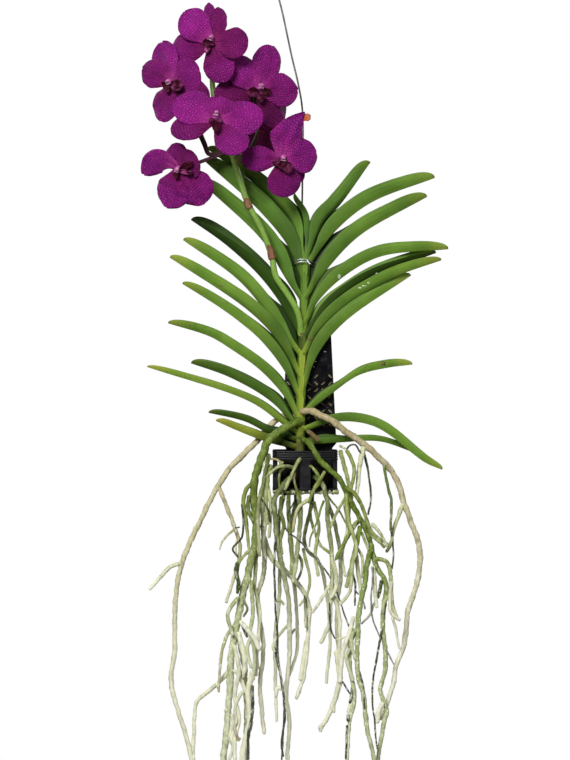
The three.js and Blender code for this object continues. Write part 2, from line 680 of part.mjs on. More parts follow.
function bloomSolids(bloom) {
  const face = faceOf(bloom);
  const heart = new THREE.SphereGeometry(BLOOM_HEART_R, 7, 4);
  heart.translate(...bloom.at);
  const behind = (distance) => face.centre.clone().addScaledVector(face.out, -distance).toArray();
  const route = [behind(2), behind(9), behind(14), ...bloom.stalk];
  const stalk = tube(route, (t) => STALK_R + (STALK_END_R - STALK_R) * t, { step: 18 });
  const blades = bloom.tepals.map((tepal) => petal(face, tepal, TEPAL_STATIONS, TEPAL_CUP));
  const tepals = join([heart, stalk, ...blades]);

  const from = (out, up, across = 0) =>
    face.centre
      .clone()
      .addScaledVector(face.out, out)
      .addScaledVector(face.dorsal, up)
      .addScaledVector(face.across, across)
      .toArray();
  // The column's foot stands in a socket in the heart; the lip hangs just under it.
  const columnTube = (grow) => {
    const crest = from(BLOOM_HEART_R + COLUMN_LONG / 2, 3);
    const route = [from(COLUMN_SEAT - grow, 1.6), crest, from(BLOOM_HEART_R + COLUMN_LONG, 2)];
    return tube(route, (t) => COLUMN_R * (1 - 0.28 * t) + grow, { step: 5, sides: 5 });
  };
  const lipFace = { ...face, centre: new THREE.Vector3(...from(BLOOM_HEART_R + 1, -2.2)) };
  const lipTurn = 180 + bloom.roll;
  const lip = join([
    petal(lipFace, [lipTurn, LIP_LONG, LIP_WIDE, 40, -20], LIP_STATIONS, 0.2),
    petal(lipFace, [lipTurn + 70, LOBE_LONG, LOBE_WIDE, 62, 0], LOBE_STATIONS, 0),
    petal(lipFace, [lipTurn - 70, LOBE_LONG, LOBE_WIDE, 62, 0], LOBE_STATIONS, 0),
  ]);
  return { tepals: tepals.subtract(solid(columnTube(GAP))), column: columnTube(0), lip };
}

for (const bloom of BLOOMS) {
  const { tepals, column, lip } = bloomSolids(bloom);
  add(`${bloom.name}_tepals`, largest(tepals.subtract(spikeClearance)), MAGENTA);
  add(`${bloom.name}_column`, column, PALE_PINK);
  add(`${bloom.name}_lip`, lip, MAROON);
}

// ---------------------------------------------------------------- aerial roots
// A root runs through hand-set points [x, y, z]; a branch starts on the root it grows from.
const rootTube = ({ route, from = 2, to = 1.4, sides = 4, step = 29 }) =>
  tube(route, taper(from, to), { sides, step });
const rootsSolid = (roots) => join(roots.map(rootTube));

const TAN_LEFT = [
  {
    from: 2.9, to: 2, sides: 5,
    route: [
      [-6.5, 4, 36.5], [-9, 7.8, 37.5], [-14, 10.2, 39], [-24, 10.2, 41], [-38, 10, 33], [-52, 11, 17],
      [-66, 9, 2], [-88, 4, -20], [-110, 0, -53],
      [-128, -3, -90], [-148, -5, -138], [-155, -4, -180], [-157, 0, -246], [-161, 3, -278],
      [-150, 6, -322], [-137, 8, -368], [-134, 8, -396],
    ],
  },
  {
    route: [
      [-104, 1, -44], [-94, -3, -68], [-85, -6, -91], [-78, -5, -114], [-82, -2, -142], [-95, 2, -184],
    ]
  },
  { route: [[-147, -5, -136], [-161, -8, -140], [-173, -10, -152], [-186, -12, -167]] },
];
const GREEN_LEFT = [
  {
    from: 3.5, to: 2.2, sides: 5,
    route: [
      [-5, -6, 35], [-17, -17, 30], [-30, -22, 23], [-44, -25, 11], [-50, -26, -4], [-60, -26, -36],
      [-61, -24, -66], [-59, -22, -102], [-65, -20, -132], [-76, -18, -180], [-86, -16, -234],
      [-89, -15, -262], [-91, -14, -300], [-95, -12, -348], [-102, -10, -402],
    ],
  },
  { route: [[-60, -26, -38], [-70, -29, -46], [-73, -30, -60], [-71, -29, -82], [-65, -22, -128]] },
  {
    route: [
      [-89, -15, -262], [-100, -12, -274], [-116, -9, -288], [-130, -8, -302], [-133, -8, -342],
      [-133, -9, -392],
    ]
  },
  { route: [[-80, -17, -206], [-92, -22, -218], [-100, -25, -246], [-103, -26, -288]], from: 1.6, to: 1.1 },
  {
    route: [
      [-82, -17, -216], [-76, -8, -240], [-72, -2, -270], [-70, 0, -300], [-71, 2, -342],
      [-72, 3, -410],
    ],
    from: 2.4,
  },
];
const TAN_RIGHT = [
  {
    from: 3.3, to: 2, sides: 5,
    route: [
      [-4, -5, 47], [8, -15, 47], [18, -19, 42], [30, -22, 36], [42, -23, 28], [54, -22, 19], [74, -18, 4],
      [96, -12, -16], [110, -8, -36], [118, -5, -62], [127, -3, -86], [137, 0, -112], [138, 3, -138],
      [133, 5, -166], [124, 6, -194], [119, 5, -234], [110, 3, -257], [106, 2, -282], [90, 0, -324],
    ],
  },
  { route: [[71, -18, 6], [66, -21, -10], [64, -23, -24], [61, -25, -54]], from: 2.6, to: 1.8 },
  { route: [[118, -5, -62], [106, -12, -94], [101, -15, -114], [97, -16, -122]] },
  { route: [[93, -13, -13], [100, -20, -48], [103, -22, -61], [102, -22, -96]], from: 1.5, to: 1.1 },
  {
    route: [[66, -18, 10], [72, -10, -8], [77, -6, -36], [79, -4, -60], [76, -3, -78]], from: 1.5,
    to: 1.1,
  },
];
const GREEN_RIGHT = [
  {
    from: 2.7, to: 1.8, sides: 5,
    route: [
      [-3, -7.5, 14], [0, -22, 12], [4, -38, 9.5], [10, -47.5, 0], [18, -48, -12], [30, -48, -23],
      [40, -47, -32],
      [48, -45, -48], [56, -41, -64], [64, -37, -78], [76, -32, -104], [84, -28, -134], [96, -25, -160],
      [94, -22, -180], [92, -20, -198], [95, -18, -234], [95, -16, -266], [90, -15, -286], [98, -13, -312],
      [94, -12, -326], [86, -10, -386],
    ],
  },
  {
    route: [
      [46, -46, -43], [58, -50, -50], [66, -50, -62], [79, -44, -96], [94, -38, -108], [100, -36, -114],
    ]
  },
  { route: [[83, -29, -128], [97, -32, -132], [102, -33, -150], [103, -33, -180], [109, -32, -198]] },
  {
    from: 2.5, to: 1.8,
    route: [
      [79, -31, -112], [75, -36, -128], [71, -40, -156], [64, -41, -190], [62, -40, -228], [62, -38, -264],
      [70, -35, -294], [73, -32, -326], [80, -30, -358], [86, -28, -398],
    ],
  },
  {
    route: [[93, -20, -208], [85, -26, -246], [80, -24, -282], [82, -22, -318], [86, -20, -356]],
    from: 1.5, to: 1.1,
  },
  {
    route: [
      [48, -45, -50], [52, -50, -84], [60, -52, -114], [56, -52, -132], [52, -50, -166],
      [40, -48, -182],
    ]
  },
  {
    route: [
      [63, -40, -208], [54, -34, -228], [53, -30, -258], [59, -28, -294], [53, -26, -324],
      [48, -24, -402],
    ]
  },
];
const CROWN = [-2, 0, -27];
const IN_BASKET = [
  {
    from: 2.6, to: 1.8,
    route: [
      CROWN, [-14, -24, -32], [-22, -43, -36], [-36, -49, -56], [-36, -47, -78], [-32, -42, -114],
      [-26, -37, -144], [-20, -33, -180], [-19, -30, -216], [-19, -28, -252], [-23, -26, -288],
      [-19, -24, -318],
      [-25, -22, -406],
    ],
  },
  {
    from: 2.3, to: 1.6,
    route: [
      CROWN, [-24, -18, -24], [-44, -22, -27], [-50, -16, -48], [-50, -10, -84], [-48, -6, -120],
      [-50, -4, -150],
      [-57, -2, -178], [-53, 0, -210], [-50, 1, -246], [-54, 2, -276], [-49, 2, -342],
    ],
  },
  {
    from: 2.5, to: 1.7,
    route: [
      [-49, -8, -104], [-40, -10, -130], [-20, -12, -148], [-4, -12, -166], [5, -11, -186], [5, -10, -202],
      [2, -9, -234], [0, -8, -264], [-11, -6, -299],
    ],
  },
  {
    route: [
      [-34, -45, -98], [-37, -50, -132], [-35, -50, -180], [-31, -47, -252], [-25, -44, -294],
      [-28, -40, -366],
    ],
    from: 1.4, to: 1,
  },
  {
    from: 2.4, to: 1.7,
    route: [
      CROWN, [12, -24, -32], [20, -43, -38], [26, -49, -60], [26, -46, -78], [30, -42, -108],
      [32, -40, -144],
      [30, -37, -180], [29, -34, -206], [18, -31, -230],
    ],
  },
  {
    route: [
      [31, -38, -166], [40, -33, -194], [41, -30, -246], [42, -28, -276], [35, -26, -300],
      [17, -24, -335],
    ]
  },
  {
    route: [
      CROWN, [8, -8, -44], [8, -8, -66], [6, -12, -78], [11, -20, -96], [18, -30, -112],
      [30, -40, -122],
    ],
    from: 1.7, to: 1.2,
  },
  {
    route: [
      CROWN, [-10, 5, -44], [-10.5, 6, -62], [-18, 4, -96], [-16, 2, -132], [-11, 0, -180],
      [-10, -6, -240], [-19, -26, -268],
    ],
    from: 1.9,
  },
  {
    route: [
      CROWN, [8, 5, -44], [8, 5, -62], [0, 12, -116], [16, 14, -134], [24, 14, -160], [30, 12, -220],
      [26, 12, -282],
    ],
    from: 1.7,
  },
  {
    route: [
      CROWN, [20, 7, -38], [25, 8, -56], [36, 22, -90], [44, 30, -150], [38, 28, -200], [42, 26, -262],
    ],
    from: 2,
  },
  {
    route: [
      CROWN, [-22, 7, -34], [-26, 8, -56], [-32, 24, -90], [-30, 32, -170], [-36, 30, -230],
      [-34, 26, -330],
    ],
    from: 2,
  },
  {
    route: [CROWN, [-12, -38, -17], [-15, -44, -22], [-19, -46, -34], [-25, -46, -47]], from: 2.4,
    to: 2, step: 12,
  },
  { route: [CROWN, [-24, -36, -20], [-32, -46, -27], [-44, -46, -33]], from: 2.2, to: 1.8, step: 14 },
  {
    route: [CROWN, [14, -36, -24], [20, -44, -32], [24, -46, -46], [24, -46, -58]], from: 1.9, to: 1.6,
    step: 14,
  },
];
const CROWN_R = 12; // the clump of old root bases
const crownClump = new THREE.SphereGeometry(CROWN_R, 8, 5);
crownClump.scale(1, 1, 0.75);
crownClump.translate(...CROWN);
const growthClearance = stemClearance.add(wireClearance);

add("root_tan_left", rootsSolid(TAN_LEFT).subtract(growthClearance), TAN_ROOT);
add("root_green_left", rootsSolid(GREEN_LEFT).subtract(growthClearance), GREEN_ROOT);
add("root_tan_right", rootsSolid(TAN_RIGHT).subtract(growthClearance), TAN_ROOT);
add("root_green_right", rootsSolid(GREEN_RIGHT).subtract(growthClearance), GREEN_ROOT);
add(
  "roots_in_basket",
  largest(join([crownClump, ...IN_BASKET.map(rootTube)]).subtract(growthClearance)),
  PALE_ROOT,
);

// ---------------------------------------------------------------- tie wire
// Two turns of thin wire bind the stem to the hanger, closed by a twist in front.
const TIE_R = 0.6;
function tieLoop(rise) {
  const right = 8.3 + 0.6 * rise;
  const left = -13.5 - 0.3 * rise;
  return [
    [right, -3, 222 + rise], [right, 3, 221.5 + rise], [4, 9.5, 221 + rise], [-4, 12.2, 221 + rise],
    [-11, 8, 222 + rise], [left, 0, 223 + rise], [-12, -7, 224 + rise], [-5, -10.5, 225.5 + rise],
    [3, -9.5, 225 + rise],
  ];
}
function ring(points, r) {
  const curve = new THREE.CatmullRomCurve3(points.map((p) => new THREE.Vector3(...p)), true, "centripetal");
  const steps = 14;
  const sides = 4;
  const frames = curve.computeFrenetFrames(steps, true);
  const vertices = [];
  const triangles = [];
  for (let i = 0; i < steps; i++) {
    const centre = curve.getPointAt(i / steps);
    for (let k = 0; k < sides; k++) {
      const turn = (2 * Math.PI * k) / sides;
      vertices.push(
        centre
          .clone()
          .addScaledVector(frames.normals[i], r * Math.cos(turn))
          .addScaledVector(frames.binormals[i], r * Math.sin(turn)),
      );
      const a = i * sides + k;
      const b = i * sides + ((k + 1) % sides);
      const c = ((i + 1) % steps) * sides;
      triangles.push([a, b, c + (b % sides)], [a, c + (b % sides), c + (a % sides)]);
    }
  }
  return closed(vertices, triangles);
}
const twist = tube([[2, -9, 228], [4, -10.5, 224], [7, -12, 219]], () => 1.2, { step: 3, sides: 5 });
add("tie_wire", join([ring(tieLoop(0), TIE_R), ring(tieLoop(3), TIE_R), twist]), TIE_STEEL);

export default plant;
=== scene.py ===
import math
import random
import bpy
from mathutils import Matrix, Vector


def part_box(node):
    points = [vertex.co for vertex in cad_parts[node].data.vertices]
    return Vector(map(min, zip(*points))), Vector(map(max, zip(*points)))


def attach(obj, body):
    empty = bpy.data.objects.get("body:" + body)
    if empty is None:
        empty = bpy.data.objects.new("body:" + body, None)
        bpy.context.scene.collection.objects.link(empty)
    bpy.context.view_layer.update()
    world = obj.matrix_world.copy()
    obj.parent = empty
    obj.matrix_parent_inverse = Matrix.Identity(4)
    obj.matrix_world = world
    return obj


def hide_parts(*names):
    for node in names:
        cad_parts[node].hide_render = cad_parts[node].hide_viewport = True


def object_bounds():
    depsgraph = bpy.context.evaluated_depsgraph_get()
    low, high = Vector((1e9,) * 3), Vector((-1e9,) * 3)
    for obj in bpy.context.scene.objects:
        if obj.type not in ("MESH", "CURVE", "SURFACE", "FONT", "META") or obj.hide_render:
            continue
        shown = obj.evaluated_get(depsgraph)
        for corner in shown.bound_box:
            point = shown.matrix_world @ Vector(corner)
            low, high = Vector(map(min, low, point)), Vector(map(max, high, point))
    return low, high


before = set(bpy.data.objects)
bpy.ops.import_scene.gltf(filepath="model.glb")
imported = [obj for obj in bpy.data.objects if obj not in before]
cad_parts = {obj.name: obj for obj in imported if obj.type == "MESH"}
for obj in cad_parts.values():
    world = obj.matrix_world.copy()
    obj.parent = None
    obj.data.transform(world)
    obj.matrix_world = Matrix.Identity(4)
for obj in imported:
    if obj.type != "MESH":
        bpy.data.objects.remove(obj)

from types import SimpleNamespace

import bmesh
import bpy
from mathutils import Quaternion, Vector, noise

cad_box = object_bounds()

# ---------------- the studio
# The plant hangs in a white bowl: a pale floor that sweeps up into a wall all round, so that no edge shows
# behind it. A large soft lamp stands in front, above and to the left, and weaker ones stand round the rest.
MM = 0.001
rim_low, rim_high = (Vector(corner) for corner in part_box("basket"))
RIM_MIDDLE = Vector(((rim_low.x + rim_high.x) / 2, (rim_low.y + rim_high.y) / 2, rim_high.z))
FLOOR_BELOW_ROOTS = 0.26
BOWL_RADIUS = 6.0
SWEEP_RADIUS = 1.6
WALL_TALL = 6.0
CAMERA_AWAY = 3.2
VIEW_TALL = 0.912  # how much of the plant's plane the view takes in, in metres
FILM_TALL = 24.0  # millimetres

scene = bpy.context.scene


def at(x, y, z):
    """The point x, y, z millimetres from the middle of the basket's rim."""
    return RIM_MIDDLE + Vector((x, y, z)) * MM


def put(tree, kind, inputs=(), **settings):
    """A new node in a tree. Each input is a plain value or the output of another node."""
    made = tree.nodes.new(kind)
    for key, value in settings.items():
        setattr(made, key, value)
    for key, value in dict(inputs).items():
        if isinstance(value, bpy.types.NodeSocket):
            tree.links.new(value, made.inputs[key])
        else:
            made.inputs[key].default_value = value
    return made


def ring_faces(rings, sides, ends=(), closed=False):
    """The faces between rings of points, back to the first ring where closed, and over the ends told."""
    faces = [
        (ring * sides + k, ring * sides + (k + 1) % sides,
         (ring + 1) % rings * sides + (k + 1) % sides, (ring + 1) % rings * sides + k)
        for ring in range(rings if closed else rings - 1)
        for k in range(sides)
    ]
    return faces + [tuple(end * sides + k for k in range(sides)) for end in ends]


floor_height = cad_box[0].z - FLOOR_BELOW_ROOTS
bowl_profile = [(0.02, 0.0), (BOWL_RADIUS - SWEEP_RADIUS, 0.0)]
SWEEP_STEPS = 8
for step in range(1, SWEEP_STEPS + 1):
    turn = math.radians(90 * step / SWEEP_STEPS)
    bowl_profile.append((
        BOWL_RADIUS - SWEEP_RADIUS + SWEEP_RADIUS * math.sin(turn),
        SWEEP_RADIUS - SWEEP_RADIUS * math.cos(turn),
    ))
bowl_profile.append((BOWL_RADIUS, WALL_TALL))
BOWL_SIDES = 72
bowl_points = [
    (radius * math.cos(2 * math.pi * k / BOWL_SIDES), radius * math.sin(2 * math.pi * k / BOWL_SIDES), rise)
    for radius, rise in bowl_profile
    for k in range(BOWL_SIDES)
]
bowl_faces = ring_faces(len(bowl_profile), BOWL_SIDES, (0,))
bowl_mesh = bpy.data.meshes.new("studio_bowl")
bowl_mesh.from_pydata([(x, y, z + floor_height) for x, y, z in bowl_points], [], bowl_faces)
bowl_mesh.polygons.foreach_set("use_smooth", [True] * len(bowl_mesh.polygons))
bowl_paper = bpy.data.materials.new("white_paper")
bowl_paper.use_nodes = True
paper_tree = bowl_paper.node_tree
paper_tree.nodes.remove(paper_tree.nodes["Principled BSDF"])
paper_glow = put(paper_tree, "ShaderNodeEmission", {"Color": (1, 1, 1, 1), "Strength": 1.0})
paper_matt = put(paper_tree, "ShaderNodeBsdfDiffuse", {"Color": (0.16, 0.16, 0.16, 1)})
paper_lit = put(paper_tree, "ShaderNodeLightPath")
paper_mix = put(paper_tree, "ShaderNodeMixShader", {
    0: paper_lit.outputs["Is Camera Ray"], 1: paper_matt.outputs[0], 2: paper_glow.outputs[0],
})
paper_tree.links.new(paper_mix.outputs[0], paper_tree.nodes["Material Output"].inputs["Surface"])
bowl_mesh.materials.append(bowl_paper)
bowl = bpy.data.objects.new("studio_bowl", bowl_mesh)
scene.collection.objects.link(bowl)

world = bpy.data.worlds.new("studio_air")
world.use_nodes = True
world.node_tree.nodes["Background"].inputs["Color"].default_value = (1, 1, 1, 1)
world.node_tree.nodes["Background"].inputs["Strength"].default_value = 0.3
scene.world = world
scene.view_settings.view_transform = "Standard"

view_middle = at(-24, 0, 84)
for lamp_name, place, size, power in [
    ("key_lamp", (-0.9, -3.0, 1.5), 1.3, 128),
    ("fill_lamp", (2.2, -2.4, 0.3), 2.0, 16),
    ("low_lamp", (0.2, -1.7, -1.2), 1.2, 13),
    ("back_lamp_left", (-2.0, 2.2, 1.4), 1.6, 34),
    ("back_lamp_right", (2.2, 2.0, 1.2), 1.6, 34),
]:
    light = bpy.data.lights.new(lamp_name, "AREA")
    light.shape = "DISK"
    light.size = size
    light.energy = power
    lamp = bpy.data.objects.new(lamp_name, light)
    lamp.location = view_middle + Vector(place)
    lamp.rotation_euler = (-Vector(place)).to_track_quat("-Z", "Y").to_euler()
    scene.collection.objects.link(lamp)

lens = bpy.data.cameras.new("camera")
lens.sensor_fit = "VERTICAL"
lens.sensor_height = FILM_TALL
lens.lens = FILM_TALL * CAMERA_AWAY / VIEW_TALL
camera = bpy.data.objects.new("camera", lens)
camera.location = view_middle - Vector((0, CAMERA_AWAY, 0))
camera.rotation_euler = (math.radians(90), 0, 0)
scene.collection.objects.link(camera)
scene.camera = camera

# ---------------- hanger wire
# One length of galvanised wire: a hook bent at the top, straight down behind the stem, through the basket's
# floor and turned under it. Its zinc has dulled, with a few brown specks.
WIRE_R = 1.1
HOOK_X, HOOK_Y, HOOK_Z = -28, 9, 586.9
HOOK_R = 10
WIRE_FOOT_Z = -51.45
hook_bend = [
    (HOOK_X + HOOK_R * math.cos(turn), HOOK_Y, HOOK_Z - HOOK_R + WIRE_R + HOOK_R * math.sin(turn))
    for turn in (math.radians(degrees) for degrees in range(-30, 181, 15))
]
WIRE_ROUTE = hook_bend + [
    (-36.5, 9, 564), (-35, 9, 556), (-28, 9, 530), (-16, 9, 474), (-8, 9, 440), (-3, 9, 408),
    (-3, 9, 330), (-4, 9, 250), (-5, 9, 120), (-6, 9, 0),
    (-6, 9, WIRE_FOOT_Z + 8), (-6, 9, WIRE_FOOT_Z + 1.5), (-4.5, 9, WIRE_FOOT_Z), (20, 9, WIRE_FOOT_Z),
]


def paint(code):
    """A colour written #rrggbb, as the renderer takes it."""
    shades = [int(code[k:k + 2], 16) / 255 for k in (1, 3, 5)]
    return (*[s / 12.92 if s <= 0.04045 else ((s + 0.055) / 1.055) ** 2.4 for s in shades], 1.0)


def finish(name, plain):
    """A new material with the shader's plain values, its shader and the coordinates of its pattern."""
    material = bpy.data.materials.new(name)
    material.use_nodes = True
    shader = material.node_tree.nodes["Principled BSDF"]
    for socket, value in plain.items():
        shader.inputs[socket].default_value = value
    return material, shader, put(material.node_tree, "ShaderNodeTexCoord").outputs["Object"]


def result(tree, kind, inputs=(), **settings):
    """The first output of a new node."""
    return put(tree, kind, inputs, **settings).outputs[0]


def put_by(given, kind, inputs, **settings):
    """A new node in the tree of the first of the given values that comes from a node."""
    source = next(value for value in given if isinstance(value, bpy.types.NodeSocket))
    return put(source.id_data, kind, inputs, **settings)


def stretched(where, scale, turned=(0, 0, 0)):
    """The coordinates, scaled along each axis."""
    made = put_by([where], "ShaderNodeMapping", {"Vector": where, "Scale": scale, "Rotation": turned})
    return made.outputs[0]


def apart(vector):
    """The X, Y and Z of a vector."""
    return put_by([vector], "ShaderNodeSeparateXYZ", {0: vector}).outputs


def told(where, name, kind="Fac"):
    """What the mesh says under this name."""
    return put(where.id_data, "ShaderNodeAttribute", attribute_name=name).outputs[kind]


def height_level(where, low, high, to_low=0.0, to_high=1.0):
    """A value that changes between two heights over the basket's rim, in millimetres."""
    return level(apart(where)["Z"], at(0, 0, low).z, at(0, 0, high).z, to_low, to_high)


def grain(where, scale, detail=2.0, rough=0.5):
    """Soft noise from 0 to 1."""
    made = put_by([where], "ShaderNodeTexNoise", {
        "Vector": where, "Scale": scale, "Detail": detail, "Roughness": rough,
    })
    return made.outputs["Fac"]


def ramp(share, *stops):
    """A colour for each share from 0 to 1, from stops of (share, #rrggbb)."""
    made = put_by([share], "ShaderNodeValToRGB", {"Fac": share})
    marks = made.color_ramp.elements
    for mark, (position, code) in ((marks[0], stops[0]), (marks[1], stops[-1])):
        mark.position, mark.color = position, paint(code)
    for position, code in stops[1:-1]:
        marks.new(position).color = paint(code)
    return made.outputs["Color"]


def level(value, low, high, to_low=0.0, to_high=1.0):
    """A value spread from low..high to to_low..to_high, held at both ends."""
    made = put_by([value], "ShaderNodeMapRange", {
        "Value": value, "From Min": low, "From Max": high, "To Min": to_low, "To Max": to_high,
    })
    return made.outputs[0]


def reckon(how, first, second=0.0):
    """One sum on one or two values."""
    return put_by((first, second), "ShaderNodeMath", {0: first, 1: second}, operation=how).outputs[0]


def times(first, second):
    """One value times another."""
    return reckon("MULTIPLY", first, second)


def mixed(share, under, over, way="MIX"):
    """Two colours laid over each other, each an output or #rrggbb. They are the node's inputs 6 and 7."""
    under, over = (paint(colour) if isinstance(colour, str) else colour for colour in (under, over))
    made = put_by((share, under, over), "ShaderNodeMix", {0: share, 6: under, 7: over},
                  data_type="RGBA", blend_type=way)
    return made.outputs[2]


def coat(shader, colour, rough=None, relief=None, depth=0.0):
    """Gives a shader its colour and, where told, its roughness and fine relief, depth metres high."""
    tree = shader.id_data
    tree.links.new(colour, shader.inputs["Base Color"])
    if rough:
        tree.links.new(rough, shader.inputs["Roughness"])
    if relief:
        bump = put(tree, "ShaderNodeBump", {"Height": relief, "Distance": depth, "Strength": 1.0})
        tree.links.new(bump.outputs[0], shader.inputs["Normal"])


def wire_finish(name, dull, bright, speck, roughness):
    """Drawn wire: fine streaks along it, a duller cloud here and there, and brown specks."""
    material, shader, where = finish(name, {"Metallic": 1.0})
    metal = ramp(grain(where, 90, 4), (0.3, dull), (0.7, bright))
    rust = level(grain(where, 420, 3), 0.62, 0.7)
    streaks = grain(stretched(where, (2600, 2600, 120)), 1)
    coat(shader, mixed(rust, metal, speck), level(streaks, 0.2, 0.8, roughness - 0.08, roughness + 0.14),
         streaks, 0.00003)
    return material


CURVE_STEPS = 12
ROUND_END = (1.0, 0.5, 0.2, 0.05, 0.001)  # where the rings of a round end lie, as shares of its radius


def smooth_path(points, spacing, closed=False):
    """Evenly spaced points along the centripetal Catmull-Rom curve through the given ones."""
    points = [Vector(point) for point in points]
    count = len(points)
    fine = []
    for k in range(count if closed else count - 1):
        b, c = points[k], points[(k + 1) % count]
        a = points[k - 1] if closed or k > 0 else 2 * b - c
        d = points[(k + 2) % count] if closed or k + 2 < count else 2 * c - b
        before, here, after = ((q - p).length ** 0.5 for p, q in ((a, b), (b, c), (c, d)))
        leave = ((b - a) / before - (c - a) / (before + here) + (c - b) / here) * here
        arrive = ((c - b) / here - (d - b) / (here + after) + (d - c) / after) * here
        for step in range(CURVE_STEPS):
            t = step / CURVE_STEPS
            fine.append(
                b * (2 * t ** 3 - 3 * t ** 2 + 1) + leave * (t ** 3 - 2 * t ** 2 + t)
                + c * (3 * t ** 2 - 2 * t ** 3) + arrive * (t ** 3 - t ** 2)
            )
    fine.append(points[0].copy() if closed else points[-1])
    run = [0.0]
    for p, q in zip(fine, fine[1:]):
        run.append(run[-1] + (q - p).length)
    steps = max(2, round(run[-1] / spacing))
    path = []
    k = 0
    for step in range(steps + 1):
        goal = run[-1] * step / steps
        while k < len(run) - 2 and run[k + 1] < goal:
            k += 1
        share = (goal - run[k]) / max(run[k + 1] - run[k], 1e-9)
        path.append(fine[k].lerp(fine[k + 1], min(1, share)))
    return path


def strand(route, start, end, spacing=3.0, tints=("#ffffff", "#ffffff"), round_start=False):
    """A path through (x, y, z) millimetres: its points, their thickness and tint, with a round end."""
    path = smooth_path([at(*point) for point in route], spacing * MM)
    last = len(path) - 1
    first_tint, last_tint = (Vector(paint(code)) for code in tints)
    beads = [
        (point, (start + (end - start) * k / last) * MM, first_tint.lerp(last_tint, k / last))
        for k, point in enumerate(path)
    ]
    for radius, tip, inwards, tint, at_end in (
        (start * MM, path[0], (path[1] - path[0]).normalized(), first_tint, False),
        (end * MM, path[-1], (path[-2] - path[-1]).normalized(), last_tint, True),
    ):
        if not at_end and not round_start:
            continue
        beads = [bead for bead in beads if (bead[0] - tip).length > radius]
        cap = [
            (tip + inwards * radius * back, radius * math.sqrt(1 - (1 - back) ** 2), tint)
            for back in ROUND_END
        ]
        beads = beads + cap if at_end else cap[::-1] + beads
    return beads


def strand_mesh(name, strands, closed=False):
    """The wire frame of some strands, with the thickness and the tint of each point."""
    mesh = bpy.data.meshes.new(name)
    points, edges, thick, tint = [], [], [], []
    for beads in strands:
        first = len(points)
        edges += [(first + k, first + k + 1) for k in range(len(beads) - 1)]
        if closed:
            edges.append((first + len(beads) - 1, first))
        for place, radius, colour in beads:
            points.append(place)
            thick.append(radius)
            tint.extend(colour)
    mesh.from_pydata(points, edges, [])
    mesh.attributes.new("thick", "FLOAT", "POINT").data.foreach_set("value", thick)
    mesh.attributes.new("tint", "FLOAT_COLOR", "POINT").data.foreach_set("color", tint)
    return mesh


def new_tree(name, takes, inputs, gives):
    """A Geometry Nodes tree with its named sockets, and what its inputs give."""
    tree = bpy.data.node_groups.new(name, "GeometryNodeTree")
    tree.interface.new_socket(takes, in_out="INPUT", socket_type="NodeSocketGeometry")
    for label, kind in inputs.items():
        tree.interface.new_socket(label, in_out="INPUT", socket_type="NodeSocket" + kind)
    tree.interface.new_socket(gives, in_out="OUTPUT", socket_type="NodeSocketGeometry")
    return tree, put(tree, "NodeGroupInput").outputs


def end_tree(tree, gives, shape, material):
    """The end of a tree: its instances are made real, get their material and go out."""
    shape = result(tree, "GeometryNodeRealizeInstances", {"Geometry": shape})
    shape = result(tree, "GeometryNodeSetMaterial", {"Geometry": shape, "Material": material})
    put(tree, "NodeGroupOutput", {gives: shape})
    return tree


def skin_tree():
    """Lays a round skin over strands: it wanders a little off the path and rises in lumps."""
    tree, given = new_tree("skin_over_strands", "Strands", {
        "Sides": "Int", "Wander": "Float", "Wander scale": "Float", "Lump height": "Float",
        "Lump scale": "Float", "Seed": "Float", "Material": "Material",
    }, "Skin")
    place = result(tree, "GeometryNodeInputPosition")
    seeded = result(tree, "ShaderNodeVectorMath", {0: place, 1: given["Seed"]}, operation="ADD")

    def drift(scale, detail):
        return put(tree, "ShaderNodeTexNoise", {"Vector": seeded, "Scale": scale, "Detail": detail})

    line = result(tree, "GeometryNodeMeshToCurve", {"Mesh": given["Strands"]})
    aside = result(tree, "ShaderNodeVectorMath", {
        0: drift(given["Wander scale"], 2.5).outputs["Color"], 1: (0.5, 0.5, 0.5),
    }, operation="SUBTRACT")
    aside = result(tree, "ShaderNodeVectorMath", {0: aside, "Scale": given["Wander"]}, operation="SCALE")
    line = result(tree, "GeometryNodeSetPosition", {"Geometry": line, "Offset": aside})
    thick = result(tree, "GeometryNodeInputNamedAttribute", {"Name": "thick"}, data_type="FLOAT")
    section = put(tree, "GeometryNodeCurvePrimitiveCircle", {"Resolution": given["Sides"], "Radius": 1.0})
    skin = result(tree, "GeometryNodeCurveToMesh", {
        "Curve": line, "Profile Curve": section.outputs[0], "Scale": thick, "Fill Caps": True,
    })
    outwards = result(tree, "GeometryNodeInputNormal")
    lump = reckon("SUBTRACT", drift(given["Lump scale"], 2.0).outputs["Fac"], 0.5)
    lump = times(times(lump, given["Lump height"]), thick)
    rise = result(tree, "ShaderNodeVectorMath", {0: outwards, "Scale": lump}, operation="SCALE")
    skin = result(tree, "GeometryNodeSetPosition", {"Geometry": skin, "Offset": rise})
    skin = result(tree, "GeometryNodeSetShadeSmooth", {"Geometry": skin})
    return end_tree(tree, "Skin", skin, given["Material"])


def grown(name, mesh, tree, values):
    """The plain mesh that a tree makes of a mesh, as an object."""
    start = bpy.data.objects.new(name + "_start", mesh)
    scene.collection.objects.link(start)
    growth = start.modifiers.new("growth", "NODES")
    growth.node_group = tree
    for socket in tree.interface.items_tree:
        if socket.in_out == "INPUT" and socket.name in values:
            growth[socket.identifier] = values[socket.name]
    depsgraph = bpy.context.evaluated_depsgraph_get()
    made = bpy.data.meshes.new_from_object(start.evaluated_get(depsgraph), depsgraph=depsgraph)
    start.modifiers.clear()
    bpy.data.objects.remove(start)
    made.name = name
    thing = bpy.data.objects.new(name, made)
    scene.collection.objects.link(thing)
    return thing


